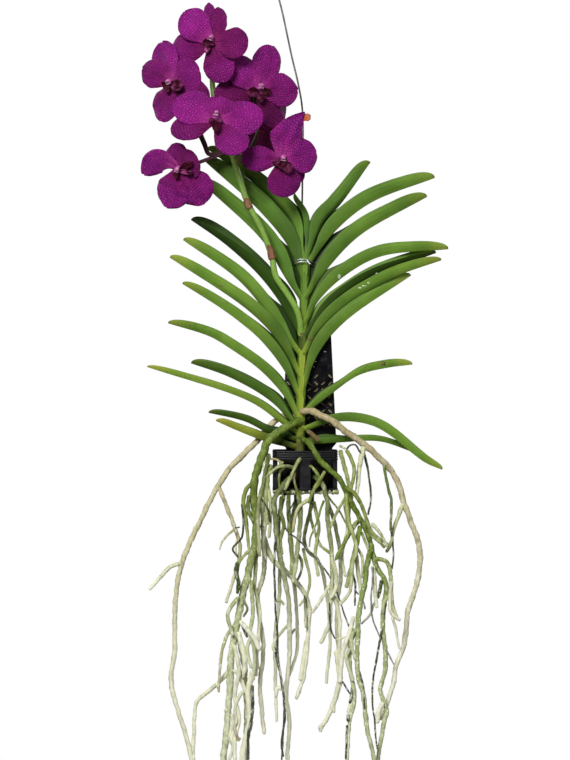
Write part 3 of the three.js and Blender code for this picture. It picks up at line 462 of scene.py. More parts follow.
SKIN = skin_tree()
SMOOTH_SKIN = {
    "Sides": 12, "Wander": 0.0, "Wander scale": 1.0, "Lump height": 0.0, "Lump scale": 1.0, "Seed": 0.0,
}
hanger_steel = wire_finish("galvanised_wire", "#5a5c59", "#7d807e", "#5a4636", 0.55)
hanger = grown(
    "hanger", strand_mesh("hanger_path", [strand(WIRE_ROUTE, WIRE_R, WIRE_R, 2.5, round_start=True)]),
    SKIN, {**SMOOTH_SKIN, "Material": hanger_steel},
)
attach(hanger, "root")
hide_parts("hanger_wire")

# ---------------- orange clip
# A short curl of soft orange plastic, snapped round the wire at the height of the blooms. One free end
# stands out to the right and narrows towards its tip. It is moulded, with rounded edges.
CLIP_X, CLIP_Z = -3, 400
CLIP_TALL = 9
CLIP_THICK = 1.3
CLIP_TAIL = 10
CLIP_INNER = WIRE_R + 0.35
CLIP_STEPS, CLIP_FROM, CLIP_TURN = 24, 60, 270  # the curl's steps, and where it starts and how far it goes
TAIL_FROM, TAIL_NARROWER = 6, 0.45  # from here on the tail grows lower, by this share at its end


def solid_mesh(points, faces, around=None, values=None):
    """A closed mesh with its faces turned outwards, each point's pattern place and named values."""
    mesh = bpy.data.meshes.new("solid")
    mesh.from_pydata(points, [], faces)
    if around:
        layer = mesh.uv_layers.new(name="pattern")
        for loop in mesh.loops:
            layer.data[loop.index].uv = around[loop.vertex_index]
    for key, listed in (values or {}).items():
        mesh.attributes.new(key, "FLOAT", "POINT").data.foreach_set("value", listed)
    turned = bmesh.new()
    turned.from_mesh(mesh)
    bmesh.ops.recalc_face_normals(turned, faces=turned.faces)
    turned.to_mesh(mesh)
    turned.free()
    mesh.polygons.foreach_set("use_smooth", [True] * len(mesh.polygons))
    return mesh


def added(name, mesh, material, edge=0.0):
    """A piece in the scene, with its edges rounded by that many millimetres."""
    mesh.name = name
    mesh.materials.append(material)
    thing = bpy.data.objects.new(name, mesh)
    scene.collection.objects.link(thing)
    if edge:
        rounded = thing.modifiers.new("rounded_edges", "BEVEL")
        rounded.width = edge * MM
        rounded.segments = 2
        rounded.limit_method = "ANGLE"
        rounded.harden_normals = True
    return thing


def prism_faces(count):
    """The faces of a prism: its two ends, and then its sides."""
    return [tuple(range(count)), tuple(range(count, 2 * count))] + ring_faces(2, count)


def clip_half(x):
    """Half the clip's height at a distance from the wire's middle."""
    return CLIP_TALL / 2 * (1 - TAIL_NARROWER * max(0, (x - TAIL_FROM) / (CLIP_TAIL - TAIL_FROM)) ** 2.5)


curl_turns = [math.radians(CLIP_FROM + CLIP_TURN * step / CLIP_STEPS) for step in range(CLIP_STEPS + 1)]
clip_outline = [
    ((CLIP_INNER + CLIP_THICK) * math.cos(turn), (CLIP_INNER + CLIP_THICK) * math.sin(turn))
    for turn in curl_turns
]
clip_outline += [
    (5, -2.4), (6.5, -2.7), (8, -3.0), (9, -3.2), (9.6, -3.2), (CLIP_TAIL, -2.6), (9.6, -1.6),
    (9, -1.5), (8, -1.4), (6.5, -1.3), (5, -1.2),
]
clip_outline += [
    (CLIP_INNER * math.cos(turn), CLIP_INNER * math.sin(turn)) for turn in reversed(curl_turns)
]
clip_points = [
    at(CLIP_X + x, HOOK_Y + y, CLIP_Z + side * clip_half(x)) for side in (-1, 1) for x, y in clip_outline
]
orange_plastic, orange_shader, orange_where = finish(
    "orange_plastic", {"Roughness": 0.4, "Specular IOR Level": 0.3},
)
orange_cloud = ramp(grain(orange_where, 160, 3), (0.3, "#8c2e00"), (0.7, "#d87006"))
coat(orange_shader, orange_cloud, relief=grain(orange_where, 900, 2), depth=0.00005)
clip_curl = solid_mesh(clip_points, prism_faces(len(clip_outline)))
clip = added("clip", clip_curl, orange_plastic, edge=0.4)
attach(clip, "root")
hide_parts("wire_clip")

# ---------------- basket
# A small square orchid basket, moulded in black plastic: a ribbed rim, a post at each corner and in the
# middle of each side, a low band round the foot and a barred floor. Roots grow out between the posts.
BASKET_HALF = (rim_high.x - rim_low.x) / 2 / MM
BASKET_DEEP = (rim_high.z - rim_low.z) / MM
BASKET_WALL = 2.4
RIM_TALL = 11
POST_WIDE = 13
CORNER_POST = 5
FLOOR_BAR = 4
FLOOR_BARS = (-16, 0, 16)
FLOOR_THICK = 3
RIDGE_TOPS, RIDGE_TALL, RIDGE_DEEP = (-2.2, -5.0, -7.8), 1.2, 0.9
FOOT_BAND = 5
BASKET_CORNER, CORNER_STEPS = 5, 5
BASKET_INNER = BASKET_HALF - BASKET_WALL


def square_ring(profile):
    """A closed ring round the square: the profile is (how far outside the wall's inner face, height)."""
    points = []
    for out, z in profile:
        for cx, cy, start in ((1, 1, 0), (-1, 1, 90), (-1, -1, 180), (1, -1, 270)):
            for k in range(CORNER_STEPS + 1):
                turn = math.radians(start + 90 * k / CORNER_STEPS)
                radius = BASKET_CORNER + out
                reach = BASKET_INNER - BASKET_CORNER
                x = cx * reach + radius * math.cos(turn)
                y = cy * reach + radius * math.sin(turn)
                points.append(at(x, y, z))
    return points, ring_faces(len(profile), 4 * (CORNER_STEPS + 1), closed=True)


def bar(x0, x1, y0, y1, z0, z1):
    """A straight bar."""
    points = [at(x, y, z) for x in (x0, x1) for y in (y0, y1) for z in (z0, z1)]
    faces = [(0, 1, 3, 2), (4, 6, 7, 5), (0, 4, 5, 1), (2, 3, 7, 6), (0, 2, 6, 4), (1, 5, 7, 3)]
    return points, faces


def joined(parts):
    """Several (points, faces) in one."""
    points, faces = [], []
    for some_points, some_faces in parts:
        first = len(points)
        points += some_points
        faces += [tuple(first + k for k in face) for face in some_faces]
    return points, faces


rim_profile = [(0.2, 0.0), (BASKET_WALL - 0.5, 0.0), (BASKET_WALL, -0.5)]
for top in RIDGE_TOPS:
    rim_profile += [
        (BASKET_WALL, top + 0.3), (BASKET_WALL - RIDGE_DEEP, top),
        (BASKET_WALL - RIDGE_DEEP, top - RIDGE_TALL), (BASKET_WALL, top - RIDGE_TALL - 0.3),
    ]
rim_profile += [(BASKET_WALL - 0.3, -RIM_TALL), (0, -RIM_TALL)]
basket_parts = [
    square_ring(rim_profile),
    square_ring([
        (-2, FOOT_BAND - BASKET_DEEP), (BASKET_WALL, FOOT_BAND - BASKET_DEEP),
        (BASKET_WALL - 0.6, -BASKET_DEEP), (-2, -BASKET_DEEP),
    ]),
]
post_top = -RIM_TALL + 1
for side in (-1, 1):
    near, far = sorted((side * (BASKET_INNER + 0.1), side * (BASKET_HALF - 0.3)))
    basket_parts.append(bar(-POST_WIDE / 2, POST_WIDE / 2, near, far, 1 - BASKET_DEEP, post_top))
    basket_parts.append(bar(near, far, -POST_WIDE / 2, POST_WIDE / 2, 1 - BASKET_DEEP, post_top))
    for other in (-1, 1):
        x0, x1 = sorted((side * (BASKET_INNER - CORNER_POST + 1.4), side * (BASKET_INNER + 0.6)))
        y0, y1 = sorted((other * (BASKET_INNER - CORNER_POST + 1.4), other * (BASKET_INNER + 0.6)))
        basket_parts.append(bar(x0, x1, y0, y1, 1 - BASKET_DEEP, post_top))
for middle in FLOOR_BARS:
    reach = BASKET_INNER - 1
    low, high = middle - FLOOR_BAR / 2, middle + FLOOR_BAR / 2
    floor_top = FLOOR_THICK - BASKET_DEEP
    basket_parts.append(bar(low, high, -reach, reach, 0.3 - BASKET_DEEP, floor_top))
    basket_parts.append(bar(-reach, reach, low, high, 0.5 - BASKET_DEEP, floor_top - 0.2))


def black_plastic_finish(name, roughness):
    """Moulded black plastic: faint flow marks and dried lime from watering."""
    material, shader, where = finish(name, {"Specular IOR Level": 0.35})
    flow = grain(stretched(where, (30, 30, 90)), 1, 3)
    black = ramp(flow, (0.3, "#060609"), (0.75, "#131318"))
    lime = level(grain(where, 260, 4, 0.62), 0.64, 0.76, 0.0, 0.3)
    worn = level(grain(where, 120, 4), 0.25, 0.8, roughness - 0.06, roughness + 0.2)
    coat(shader, mixed(lime, black, "#77776f"), worn, grain(where, 700, 3), 0.0001)
    return material


black_plastic = black_plastic_finish("black_plastic", 0.3)
basket = added("orchid_basket", solid_mesh(*joined(basket_parts)), black_plastic, edge=0.35)
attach(basket, "root")
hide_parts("basket")

# ---------------- pierced panel
# A thin glossy black plate stands in the basket behind the stem and stiffens it. Its middle is pierced with
# slots set crosswise, like cane work, and it is wet from watering.
PANEL_Y = 13.5
PANEL_THICK = 1.6
PANEL_TOP = 146
PANEL_CORNER, PANEL_CORNER_STEPS = 6, 5
PANEL_MIDDLE_X = 5
PANEL_FOOT_HALF, PANEL_LOW_HALF, PANEL_HIGH_HALF = 28, 33, 26.5
MESH_LOW = 30
MESH_ROWS, MESH_COLUMNS = 8, 7
MESH_PITCH = 8.4
SLOT_LONG, SLOT_WIDE, SLOT_CUT = 6.3, 2.1, 6
right_edge = [
    (PANEL_FOOT_HALF, FLOOR_THICK - BASKET_DEEP + 0.35), (PANEL_FOOT_HALF, 2), (PANEL_LOW_HALF, 8),
    (PANEL_HIGH_HALF, PANEL_TOP - PANEL_CORNER),
]
for step in range(1, PANEL_CORNER_STEPS + 1):
    turn = math.radians(90 * step / PANEL_CORNER_STEPS)
    right_edge.append((
        PANEL_HIGH_HALF - PANEL_CORNER + PANEL_CORNER * math.cos(turn),
        PANEL_TOP - PANEL_CORNER + PANEL_CORNER * math.sin(turn),
    ))
panel_outline = right_edge + [(-x, z) for x, z in reversed(right_edge)]
panel_points = [
    at(PANEL_MIDDLE_X + x, y, z) for y in (PANEL_Y, PANEL_Y + PANEL_THICK) for x, z in panel_outline
]


def pierce_tree():
    """Cuts rows of slots through a plate, each set crosswise to its neighbours."""
    tree, given = new_tree("crosswise_slots", "Plate", {
        "Rows": "Int", "Columns": "Int", "Pitch": "Float", "Slot length": "Float", "Slot width": "Float",
        "Cut depth": "Float", "Middle": "Vector", "Material": "Material",
    }, "Pierced plate")
    across = times(given["Pitch"], reckon("SUBTRACT", given["Columns"], 1.0))
    tall = times(given["Pitch"], reckon("SUBTRACT", given["Rows"], 1.0))
    spots = result(tree, "GeometryNodeMeshGrid", {
        "Size X": across, "Size Y": tall, "Vertices X": given["Columns"], "Vertices Y": given["Rows"],
    })
    index = result(tree, "GeometryNodeInputIndex")
    column = reckon("FLOOR", reckon("DIVIDE", index, given["Rows"]))
    row = reckon("SUBTRACT", index, times(column, given["Rows"]))
    odd = reckon("MODULO", reckon("ADD", row, column), 2.0)
    top_row = reckon("COMPARE", row, reckon("SUBTRACT", given["Rows"], 1.0))
    unused = times(top_row, reckon("MODULO", column, 2.0))
    spots = result(tree, "GeometryNodeDeleteGeometry", {"Geometry": spots, "Selection": unused})
    lean = times(reckon("SUBTRACT", odd, 0.5), math.radians(90))
    lean = result(tree, "ShaderNodeCombineXYZ", {"Z": lean})
    half = times(given["Cut depth"], 0.5)
    way = result(tree, "GeometryNodeCurvePrimitiveLine", {
        "Start": result(tree, "ShaderNodeCombineXYZ", {"Z": times(half, -1.0)}),
        "End": result(tree, "ShaderNodeCombineXYZ", {"Z": half}),
    })
    slot = result(tree, "GeometryNodeCurvePrimitiveQuadrilateral", {
        "Width": given["Slot length"], "Height": given["Slot width"],
    })
    slot = result(tree, "GeometryNodeFilletCurve", {
        "Curve": slot, "Radius": times(given["Slot width"], 0.42), "Count": 3,
    }, mode="POLY")
    cutter = result(tree, "GeometryNodeCurveToMesh", {
        "Curve": way, "Profile Curve": slot, "Fill Caps": True,
    })
    cutters = result(tree, "GeometryNodeInstanceOnPoints", {
        "Points": spots, "Instance": cutter, "Rotation": lean,
    })
    cutters = result(tree, "GeometryNodeTransform", {
        "Geometry": cutters, "Translation": given["Middle"], "Rotation": (math.radians(90), 0, 0),
    })
    cutters = result(tree, "GeometryNodeRealizeInstances", {"Geometry": cutters})
    pierced = result(tree, "GeometryNodeMeshBoolean", {0: given["Plate"], 1: cutters},
                     operation="DIFFERENCE")
    return end_tree(tree, "Pierced plate", pierced, given["Material"])


panel_plate = solid_mesh(panel_points, prism_faces(len(panel_outline)))
panel_plate.polygons.foreach_set("use_smooth", [False] * len(panel_plate.polygons))
wet_plastic = black_plastic_finish("wet_black_plastic", 0.16)
panel = grown("pierced_panel", panel_plate, pierce_tree(), {
    "Rows": MESH_ROWS, "Columns": MESH_COLUMNS, "Pitch": MESH_PITCH * MM, "Slot length": SLOT_LONG * MM,
    "Slot width": SLOT_WIDE * MM, "Cut depth": SLOT_CUT * MM, "Material": wet_plastic,
    "Middle": at(PANEL_MIDDLE_X, PANEL_Y + PANEL_THICK / 2, MESH_LOW + (MESH_ROWS - 1) * MESH_PITCH / 2),
})
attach(panel, "root")
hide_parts("mesh_panel")

# ---------------- stem
# The stem leans a little and is hidden in old leaf sheaths: each swells towards its top and ends in an
# oblique step, on the left and on the right in turn. It is yellow-green, browner and scaly at its foot.
STEM_RX, STEM_RY = 4.1, 4.6
STEM_SHEATH = 0.7
STEM_BOTTOM, STEM_TOP = -14, 244
STEM_X, STEM_LEAN, STEM_BEND = -6.2, 0.02, 0.00005  # where it stands at the rim, and how it leans higher up
STEM_TAPER, STEM_TAPER_FROM, STEM_ROUGH = 0.35, 150, 0.25
SHEATH_TOPS = [2, 14, 28, 42, 58, 74, 94, 116, 138, 160, 184, 208, 228]
SHEATH_SLANT = 3.5


def stem_x(z):
    """Where the stem's middle line lies at a height."""
    return STEM_X + STEM_LEAN * max(0, z) + STEM_BEND * max(0, z) ** 2


def ease(start, end, x):
    """From 0 to 1 without a kink."""
    t = min(1, max(0, (x - start) / (end - start)))
    return t * t * (3 - 2 * t)


def sheath_swell(z):
    """How far the sheath stands out at a height, from 0 to 1: it grows to its top and drops away there."""
    for low, high in zip([STEM_BOTTOM] + SHEATH_TOPS, SHEATH_TOPS + [STEM_TOP]):
        if z <= high:
            share = (z - low) / (high - low)
            return share ** 1.5 * (1 - ease(0.95, 1.0, share))
    return 0


STEM_SIDES, STEM_STEP = 24, 1.5
stem_steps = int((STEM_TOP - STEM_BOTTOM) / STEM_STEP)
stem_heights = [STEM_BOTTOM + k * STEM_STEP for k in range(stem_steps + 1)] + [STEM_TOP]
stem_points, stem_around = [], []
for z in stem_heights:
    fade = 1 - STEM_TAPER * ease(STEM_TAPER_FROM, STEM_TOP, z)
    order = sum(1 for top in SHEATH_TOPS if z > top)
    for k in range(STEM_SIDES):
        turn = 2 * math.pi * k / STEM_SIDES
        slant = SHEATH_SLANT * math.cos(turn) * (1 if order % 2 else -1)
        swell = STEM_SHEATH * sheath_swell(z + slant * ease(STEM_BOTTOM, 10, z))
        rough = STEM_ROUGH * noise.noise(Vector((math.cos(turn) * 2, math.sin(turn) * 2, z * 0.12)))
        stem_points.append(at(
            stem_x(z) + (STEM_RX * fade + swell + rough) * math.cos(turn),
            (STEM_RY * fade + swell * 0.5 + rough) * math.sin(turn), z,
        ))
        stem_around.append((k / STEM_SIDES, z / STEM_TOP))
stem_faces = ring_faces(len(stem_heights), STEM_SIDES, (0, len(stem_heights) - 1))
stem_skin, stem_shader, stem_where = finish("stem_skin", {"Specular IOR Level": 0.4})
stem_streaks = grain(stretched(stem_where, (900, 900, 30)), 1, 3)
stem_green = ramp(stem_streaks, (0.25, "#5f8426"), (0.55, "#86a63a"), (0.8, "#a9bc55"))
stem_mottle = level(grain(stem_where, 260, 4), 0.5, 0.72)
stem_green = mixed(stem_mottle, stem_green, "#7b7a33")
stem_high = height_level(stem_where, 110, 170, 0.0, 0.85)
stem_green = mixed(stem_high, stem_green, "#436a1e")
stem_foot = height_level(stem_where, 38, 8)
stem_foot = times(stem_foot, level(grain(stem_where, 180, 4), 0.25, 0.6, 0.45, 1.0))
coat(stem_shader, mixed(stem_foot, stem_green, "#453a20"), level(stem_streaks, 0, 1, 0.42, 0.62),
     stem_streaks, 0.0003)
stem = added("leafy_stem", solid_mesh(stem_points, stem_faces, stem_around), stem_skin)
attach(stem, "root")
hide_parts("stem")

# ---------------- leaves
# Strap leaves in two ranks, each folded along its keel like a gutter. The foot is a yellow-green sheath
# that wraps the stem and the sheaths above it. Leaves are leathery and finely veined, with painted shade
# in the fold, in the axil, beside the keel and over some whole leaves, where the leaves shadow each other.
LEAF_FOOT_HALF = 7.5
LEAF_THICK = 1.2
LEAF_KEEL_THICK = 2.2
LEAF_CLASP, LEAF_FOLD = 44, 14
LEAF_CLASP_TO, LEAF_WIDE_FROM, LEAF_ROUND_FROM = 0.22, 0.34, 0.8
LEAF_WAIST_AT, LEAF_WAIST_LONG = 0.42, 0.17
LEAF_WAVE, LEAF_BULGE = 0.9, 0.07  # how far it sways along its length, and each half bulges for its width
LEAF_RIPPLE = 2.5  # how much each half's opening changes on the way, in degrees
SHEATH_LONG = 24
SHEATH_FOOT_R, SHEATH_TOP_R = 5.0, 5.7
SHEATH_WRAP = 104  # how far each half reaches round the stem, in degrees
SHEATH_DIP = 7  # how much lower its edge is across the stem than at the keel
# Each leaf has its keel points (x, z) from the stem to the tip, its half width, and what is its own: its
# half width at the foot, how far its near and far half open in degrees, sway of the tip backwards, age from
# young to yellowing, and waist, how much narrower it is near its middle. Painted shade goes from 0 to 1:
# dark all over (lit keeps its face out of it), gloom in the fold, shade in its axil, under beside the keel,
# each painted where the leaves shadow each other. The far half stands higher by the share over, up to the
# place over_to.
LEAVES = {
    "leaf_heart": ([(4, 241), (6, 258), (4, 284), (-12, 308)], 8,
        {"foot": 3.5, "near": 14, "far": 14, "age": 0.0}),
    "leaf_left_1": ([(-5, 226), (-19, 274), (-52, 312), (-118, 362)], 17,
        {"foot": 6, "sway": 6, "age": 0.35, "shade": 0.0, "under": 0.9}),
    "leaf_left_2": ([(-7, 206), (-18, 240), (-52, 284), (-121, 347)], 20.5,
        {"near": 18, "age": 0.1, "shade": 0.5, "over": 0.3, "over_to": 0.9}),
    "leaf_left_3": ([(-8, 180), (-26, 210), (-52, 252), (-126, 322)], 19, {"age": 0.1, "over": 1.1}),
    "leaf_left_4": ([(-10, 138), (-26, 170), (-54, 208), (-96, 247), (-137, 276)], 18,
        {"near": 75, "far": 14, "age": 0.0, "dark": 0.7, "over": 0.5}),
    "leaf_left_5": ([(-10, 114), (-36, 150), (-78, 202), (-146.5, 252)], 16,
        {"age": 0.5, "over": 1.0, "under": 0.5}),
    "leaf_left_6": ([(-10, 90), (-30, 127), (-66, 165.5), (-162.5, 231)], 16,
        {"age": 0.7, "shade": 0.6, "over": 0.25, "under": 0.5}),
    "leaf_left_7": ([(-10, 65), (-26, 97), (-54, 132.5), (-79, 154), (-103, 171.5), (-147.5, 199.5)], 13.5,
        {"age": 0.6, "shade": 0.45, "over": 0.45, "over_to": 0.6}),
    "leaf_left_8": ([(-10, 38), (-26, 65.5), (-54, 96), (-88, 120.5), (-114, 136), (-164.5, 152)], 13,
        {"near": 30, "age": 0.55, "gloom": 0.7, "over": 0.2}),
    "leaf_left_9": ([(-11, 27), (-42, 59), (-90, 87), (-137, 104)], 13,
        {"foot": 4.5, "near": 40, "far": 8, "age": 0.3, "dark": 0.45, "over": 0.3}),
    "leaf_left_10": ([(-11, 18), (-30, 33), (-66, 58), (-189, 99.5)], 9,
        {"sway": -10, "age": 1.15, "gloom": 0.7, "over": 0.2}),
    "leaf_left_11": ([(-11, 10), (-40, 18), (-72, 34), (-116, 44.5)], 9,
        {"near": 45, "far": 14, "sway": 8, "age": 0.4, "dark": 0.6, "shade": 0.9}),
    "leaf_left_12": ([(-11, 1), (-44, 9), (-78, 22), (-107, 35)], 11,
        {"near": 34, "far": 34, "sway": -8, "age": 1.6, "shade": 0.9}),
    "leaf_right_1": ([(6, 236), (24, 275), (42, 294), (79, 346)], 17,
        {"foot": 6, "sway": 8, "age": 0.2, "shade": 0.3, "over": 0.1, "under": 0.9}),
    "leaf_right_2": ([(6, 222), (36, 262), (78, 296), (156, 326.5)], 18,
        {"foot": 7, "age": 0.35, "over": 0.8}),
    "leaf_right_3": ([(3, 184), (30, 221), (66, 257.5), (147, 304)], 18.5,
        {"age": 0.35, "shade": 0.35, "over": 1.2, "over_to": 0.54}),
    "leaf_right_4": ([(1, 154), (18, 181), (48, 209), (90, 231.5), (170.8, 240)], 15,
        {"sway": -19, "age": 0.5, "gloom": 0.7, "over": 1.1}),
    "leaf_right_5": ([(0, 134), (36, 175), (84, 208), (157, 236)], 14,
        {"near": 62, "far": 10, "sway": -8, "age": 0.6, "dark": 0.85, "gloom": 0.1, "lit": 1.0,
         "over": 0.4}),
    "leaf_right_6": ([(0, 116), (18, 144), (54, 176), (84, 195), (110, 208.5), (163, 227)], 15,
        {"near": 34, "far": 34, "sway": -14, "age": 0.8, "shade": 0.4, "over": 0.9, "under": 0.6}),
    "leaf_right_7": ([(-1, 76), (18, 119), (48, 154), (127.5, 209.5)], 15,
        {"foot": 6, "near": 16, "far": 16, "age": 0.6, "shade": 0.4, "over": 0.9, "over_to": 0.7}),
    "leaf_right_8": ([(-1, 42), (30, 66), (64, 89.5), (98, 98.5), (129, 102.5)], 12,
        {"near": 26, "waist": 0.38, "age": 0.9, "gloom": 0.9, "over": 0.2, "over_to": 0.6}),
    "leaf_right_9": ([(-1, 22), (38, 34), (84, 28), (144, -15), (164, -23.5)], 11.8,
        {"sway": -8, "age": 0.6, "gloom": 0.5, "over": -0.2}),
    "leaf_right_10": ([(-1, 6), (42, 9), (90, 10), (130, -3)], 8, {"sway": 22, "age": 0.5, "gloom": 0.7}),
}
SHEATH_ROWS = 8
LEAF_BODY, LEAF_TIP = 0.9, 0.1  # shares of a leaf's length
BODY_STEPS, TIP_STEPS = 40, 14
LEAF_STATIONS = [LEAF_BODY * k / BODY_STEPS for k in range(BODY_STEPS)] + [
    LEAF_BODY + LEAF_TIP * math.sin(math.radians(90 * k / TIP_STEPS)) for k in range(TIP_STEPS + 1)
]
LEAF_ACROSS = [0, 0.05, 0.14, 0.28, 0.42, 0.56, 0.7, 0.82, 0.92, 1.0]


def blade(front, back):
    """The points and faces of a thin closed blade between two grids, [station][across]."""
    rows, columns = len(front), len(front[0])

    def spot(side, i, j):
        return side * rows * columns + i * columns + j

    faces = []
    for i in range(rows - 1):
        for j in range(columns - 1):
            faces.append(tuple(spot(0, m, n) for m, n in ((i, j), (i + 1, j), (i + 1, j + 1), (i, j + 1))))
            faces.append(tuple(spot(1, m, n) for m, n in ((i, j), (i, j + 1), (i + 1, j + 1), (i + 1, j))))
        for j in (0, columns - 1):
            faces.append((spot(0, i, j), spot(1, i, j), spot(1, i + 1, j), spot(0, i + 1, j)))
    for j in range(columns - 1):
        for i in (0, rows - 1):
            faces.append((spot(0, i, j), spot(0, i, j + 1), spot(1, i, j + 1), spot(1, i, j)))
    return [p for row in front for p in row] + [p for row in back for p in row], faces


def path_at(path, share):
    """The point and the direction at a share of an evenly spaced path."""
    where = share * (len(path) - 1)
    k = min(int(where), len(path) - 2)
    point = path[k].lerp(path[k + 1], where - k)
    before, after = path[max(0, k - 1)], path[min(len(path) - 1, k + 2)]
    return point, (after - before).normalized()


def own_number(name):
    """A fixed number for a name, for its own share of noise."""
    return sum((k + 1) * ord(letter) for k, letter in enumerate(name)) * 0.37


def leaf_mesh(name, side, keel, wide, foot=LEAF_FOOT_HALF, near=24, far=24, sway=0, age=0.3, dark=0.0,
              gloom=1.0, lit=0.0, shade=0.25, over=0.6, over_to=0.42, under=0.0, waist=0.0):
    """One folded leaf with the sheath that it stands on."""
    last = len(keel) - 1
    line = smooth_path([at(x, sway * (k / last) ** 2, z) for k, (x, z) in enumerate(keel)], 1.5 * MM)
    own = Vector((own_number(name), 0, 0))
    foot_x, foot_z = keel[0]
    to_sheath = (stem_x(foot_z) + side * SHEATH_TOP_R - foot_x) * MM
    rows = [(-SHEATH_LONG * (1 - k / SHEATH_ROWS), None) for k in range(SHEATH_ROWS)]
    rows += [(0.0, s) for s in LEAF_STATIONS]
    outer, inner, along_shares, sheath_share, inside, shadow = [], [], [], [], [], []
    for below, s in rows:
        sheath = s is None
        s = s or 0.0
        ridge, along = path_at(line, s)
        if sheath:
            z = foot_z + below
            radius = SHEATH_TOP_R + (SHEATH_FOOT_R - SHEATH_TOP_R) * -below / SHEATH_LONG
            ridge = at(stem_x(z) + side * radius, 0, z)
            along = Vector((0, 0, 1)).lerp(along, 1 + below / SHEATH_LONG).normalized()
        else:
            radius = SHEATH_TOP_R
            ridge = ridge + Vector((to_sheath * (1 - ease(0, 0.14, s)), 0, 0))
        up = Vector((-side * along.z, 0, side * along.x)).normalized()
        tip = max(0, 1 - (max(0, s - LEAF_ROUND_FROM) / (1.003 - LEAF_ROUND_FROM)) ** 2.4) ** (1 / 2.2)
        tip *= 1 - 0.14 * ease(0.5, 0.92, s)
        half = (foot + (wide - foot) * ease(0, LEAF_WIDE_FROM, s)) * tip
        half *= 1 - waist * math.exp(-((s - LEAF_WAIST_AT) / LEAF_WAIST_LONG) ** 2)
        thick = LEAF_THICK * (1 - 0.3 * s)
        keel_thick = min(0.4 * half, LEAF_KEEL_THICK * (1 + 0.6 * (1 - s)))
        wave = LEAF_WAVE * noise.noise(own + Vector((0, s * 5, 0))) * ease(0.1, 0.5, s)
        opened = ease(0, 0.2, s)
        axis = ridge + up * radius * MM
        outer_row, inner_row = [], []
        for front, opening in ((-1, near), (1, far)):
            clasp = (LEAF_CLASP - LEAF_FOLD) * (1 - ease(0, LEAF_CLASP_TO, s)) * (1 if front < 0 else 0.2)
            ripple = LEAF_RIPPLE * noise.noise(own + Vector((front * 3, s * 7, 4))) * ease(0.15, 0.5, s)
            angle = math.radians(LEAF_FOLD + clasp + (opening - LEAF_FOLD) * s + ripple)
            reach = up * math.cos(angle) + Vector((0, front * math.sin(angle), 0))
            inwards = up * math.sin(angle) - Vector((0, front * math.cos(angle), 0))
            taller = 1 + (over * ease(0.02, 0.1, s) * (1 - ease(0.12, over_to, s)) if front > 0 else 0)
            outer_half, inner_half = [], []
            for v in LEAF_ACROSS:
                bulge = LEAF_BULGE * half * math.sin(math.pi * v) ** 1.2
                place = ridge + (reach * half * taller * v - inwards * bulge) * MM
                place += Vector((0, wave * MM, 0))
                round_stem = math.radians(SHEATH_WRAP) * v
                ray = -up * math.cos(round_stem) + Vector((0, front * math.sin(round_stem), 0))
                wrapped = axis + ray * radius * MM - along * SHEATH_DIP * v * MM
                place = wrapped.lerp(place, opened)
                outer_half.append(place)
                skin = thick * (0.55 + 0.45 * opened) * math.sqrt(max(0.03, 1 - v ** 10))
                from_keel = max(0, 1 - v / 0.14)
                deep = skin + (keel_thick * opened + 1 - skin) * from_keel ** 2
                away = (-ray).lerp(inwards.lerp(up, from_keel), opened).normalized()
                inner_half.append(place + away * deep * MM)
            if front < 0:
                outer_row += outer_half[::-1]
                inner_row += inner_half[::-1]
            else:
                outer_row += outer_half[1:]
                inner_row += inner_half[1:]
        outer.append(outer_row)
        inner.append(inner_row)
        along_shares.append(s + below / 250)
        sheath_share.append(1 - ease(0.0, 0.16, s))
        # painted shade: inside darkens the fold's inner face, and shadow darkens the axil, the side of the
        # keel and, by dark, the whole leaf, where the leaves shadow each other
        inside += [gloom * (1 - 0.7 * ease(0.45, 0.85, s))] * (2 * len(LEAF_ACROSS) - 1)
        all_over = max(dark, shade * ease(0.02, 0.12, s) * (1 - ease(0.26, 0.6, s)))
        at_keel = under * (1 - ease(0.5, 0.8, s))
        shadow += [max(all_over, at_keel * (1 - ease(0.12, 0.42, v))) for v in reversed(LEAF_ACROSS)]
        shadow += [all_over] * (len(LEAF_ACROSS) - 1)
    shares = [0.5 - 0.5 * v for v in reversed(LEAF_ACROSS)] + [0.5 + 0.5 * v for v in LEAF_ACROSS[1:]]
    count = len(rows) * len(shares)
    around = [(u, s) for s in along_shares for u in shares] * 2
    points, faces = blade(inner, outer)
    return solid_mesh(points, faces, around, {
        "inside": inside + [0.0] * count, "age": [age] * (2 * count),
        "dark": [share * (1 - lit) for share in shadow] + shadow,
        "sheath": [share for share in sheath_share for _ in shares] * 2,
    })


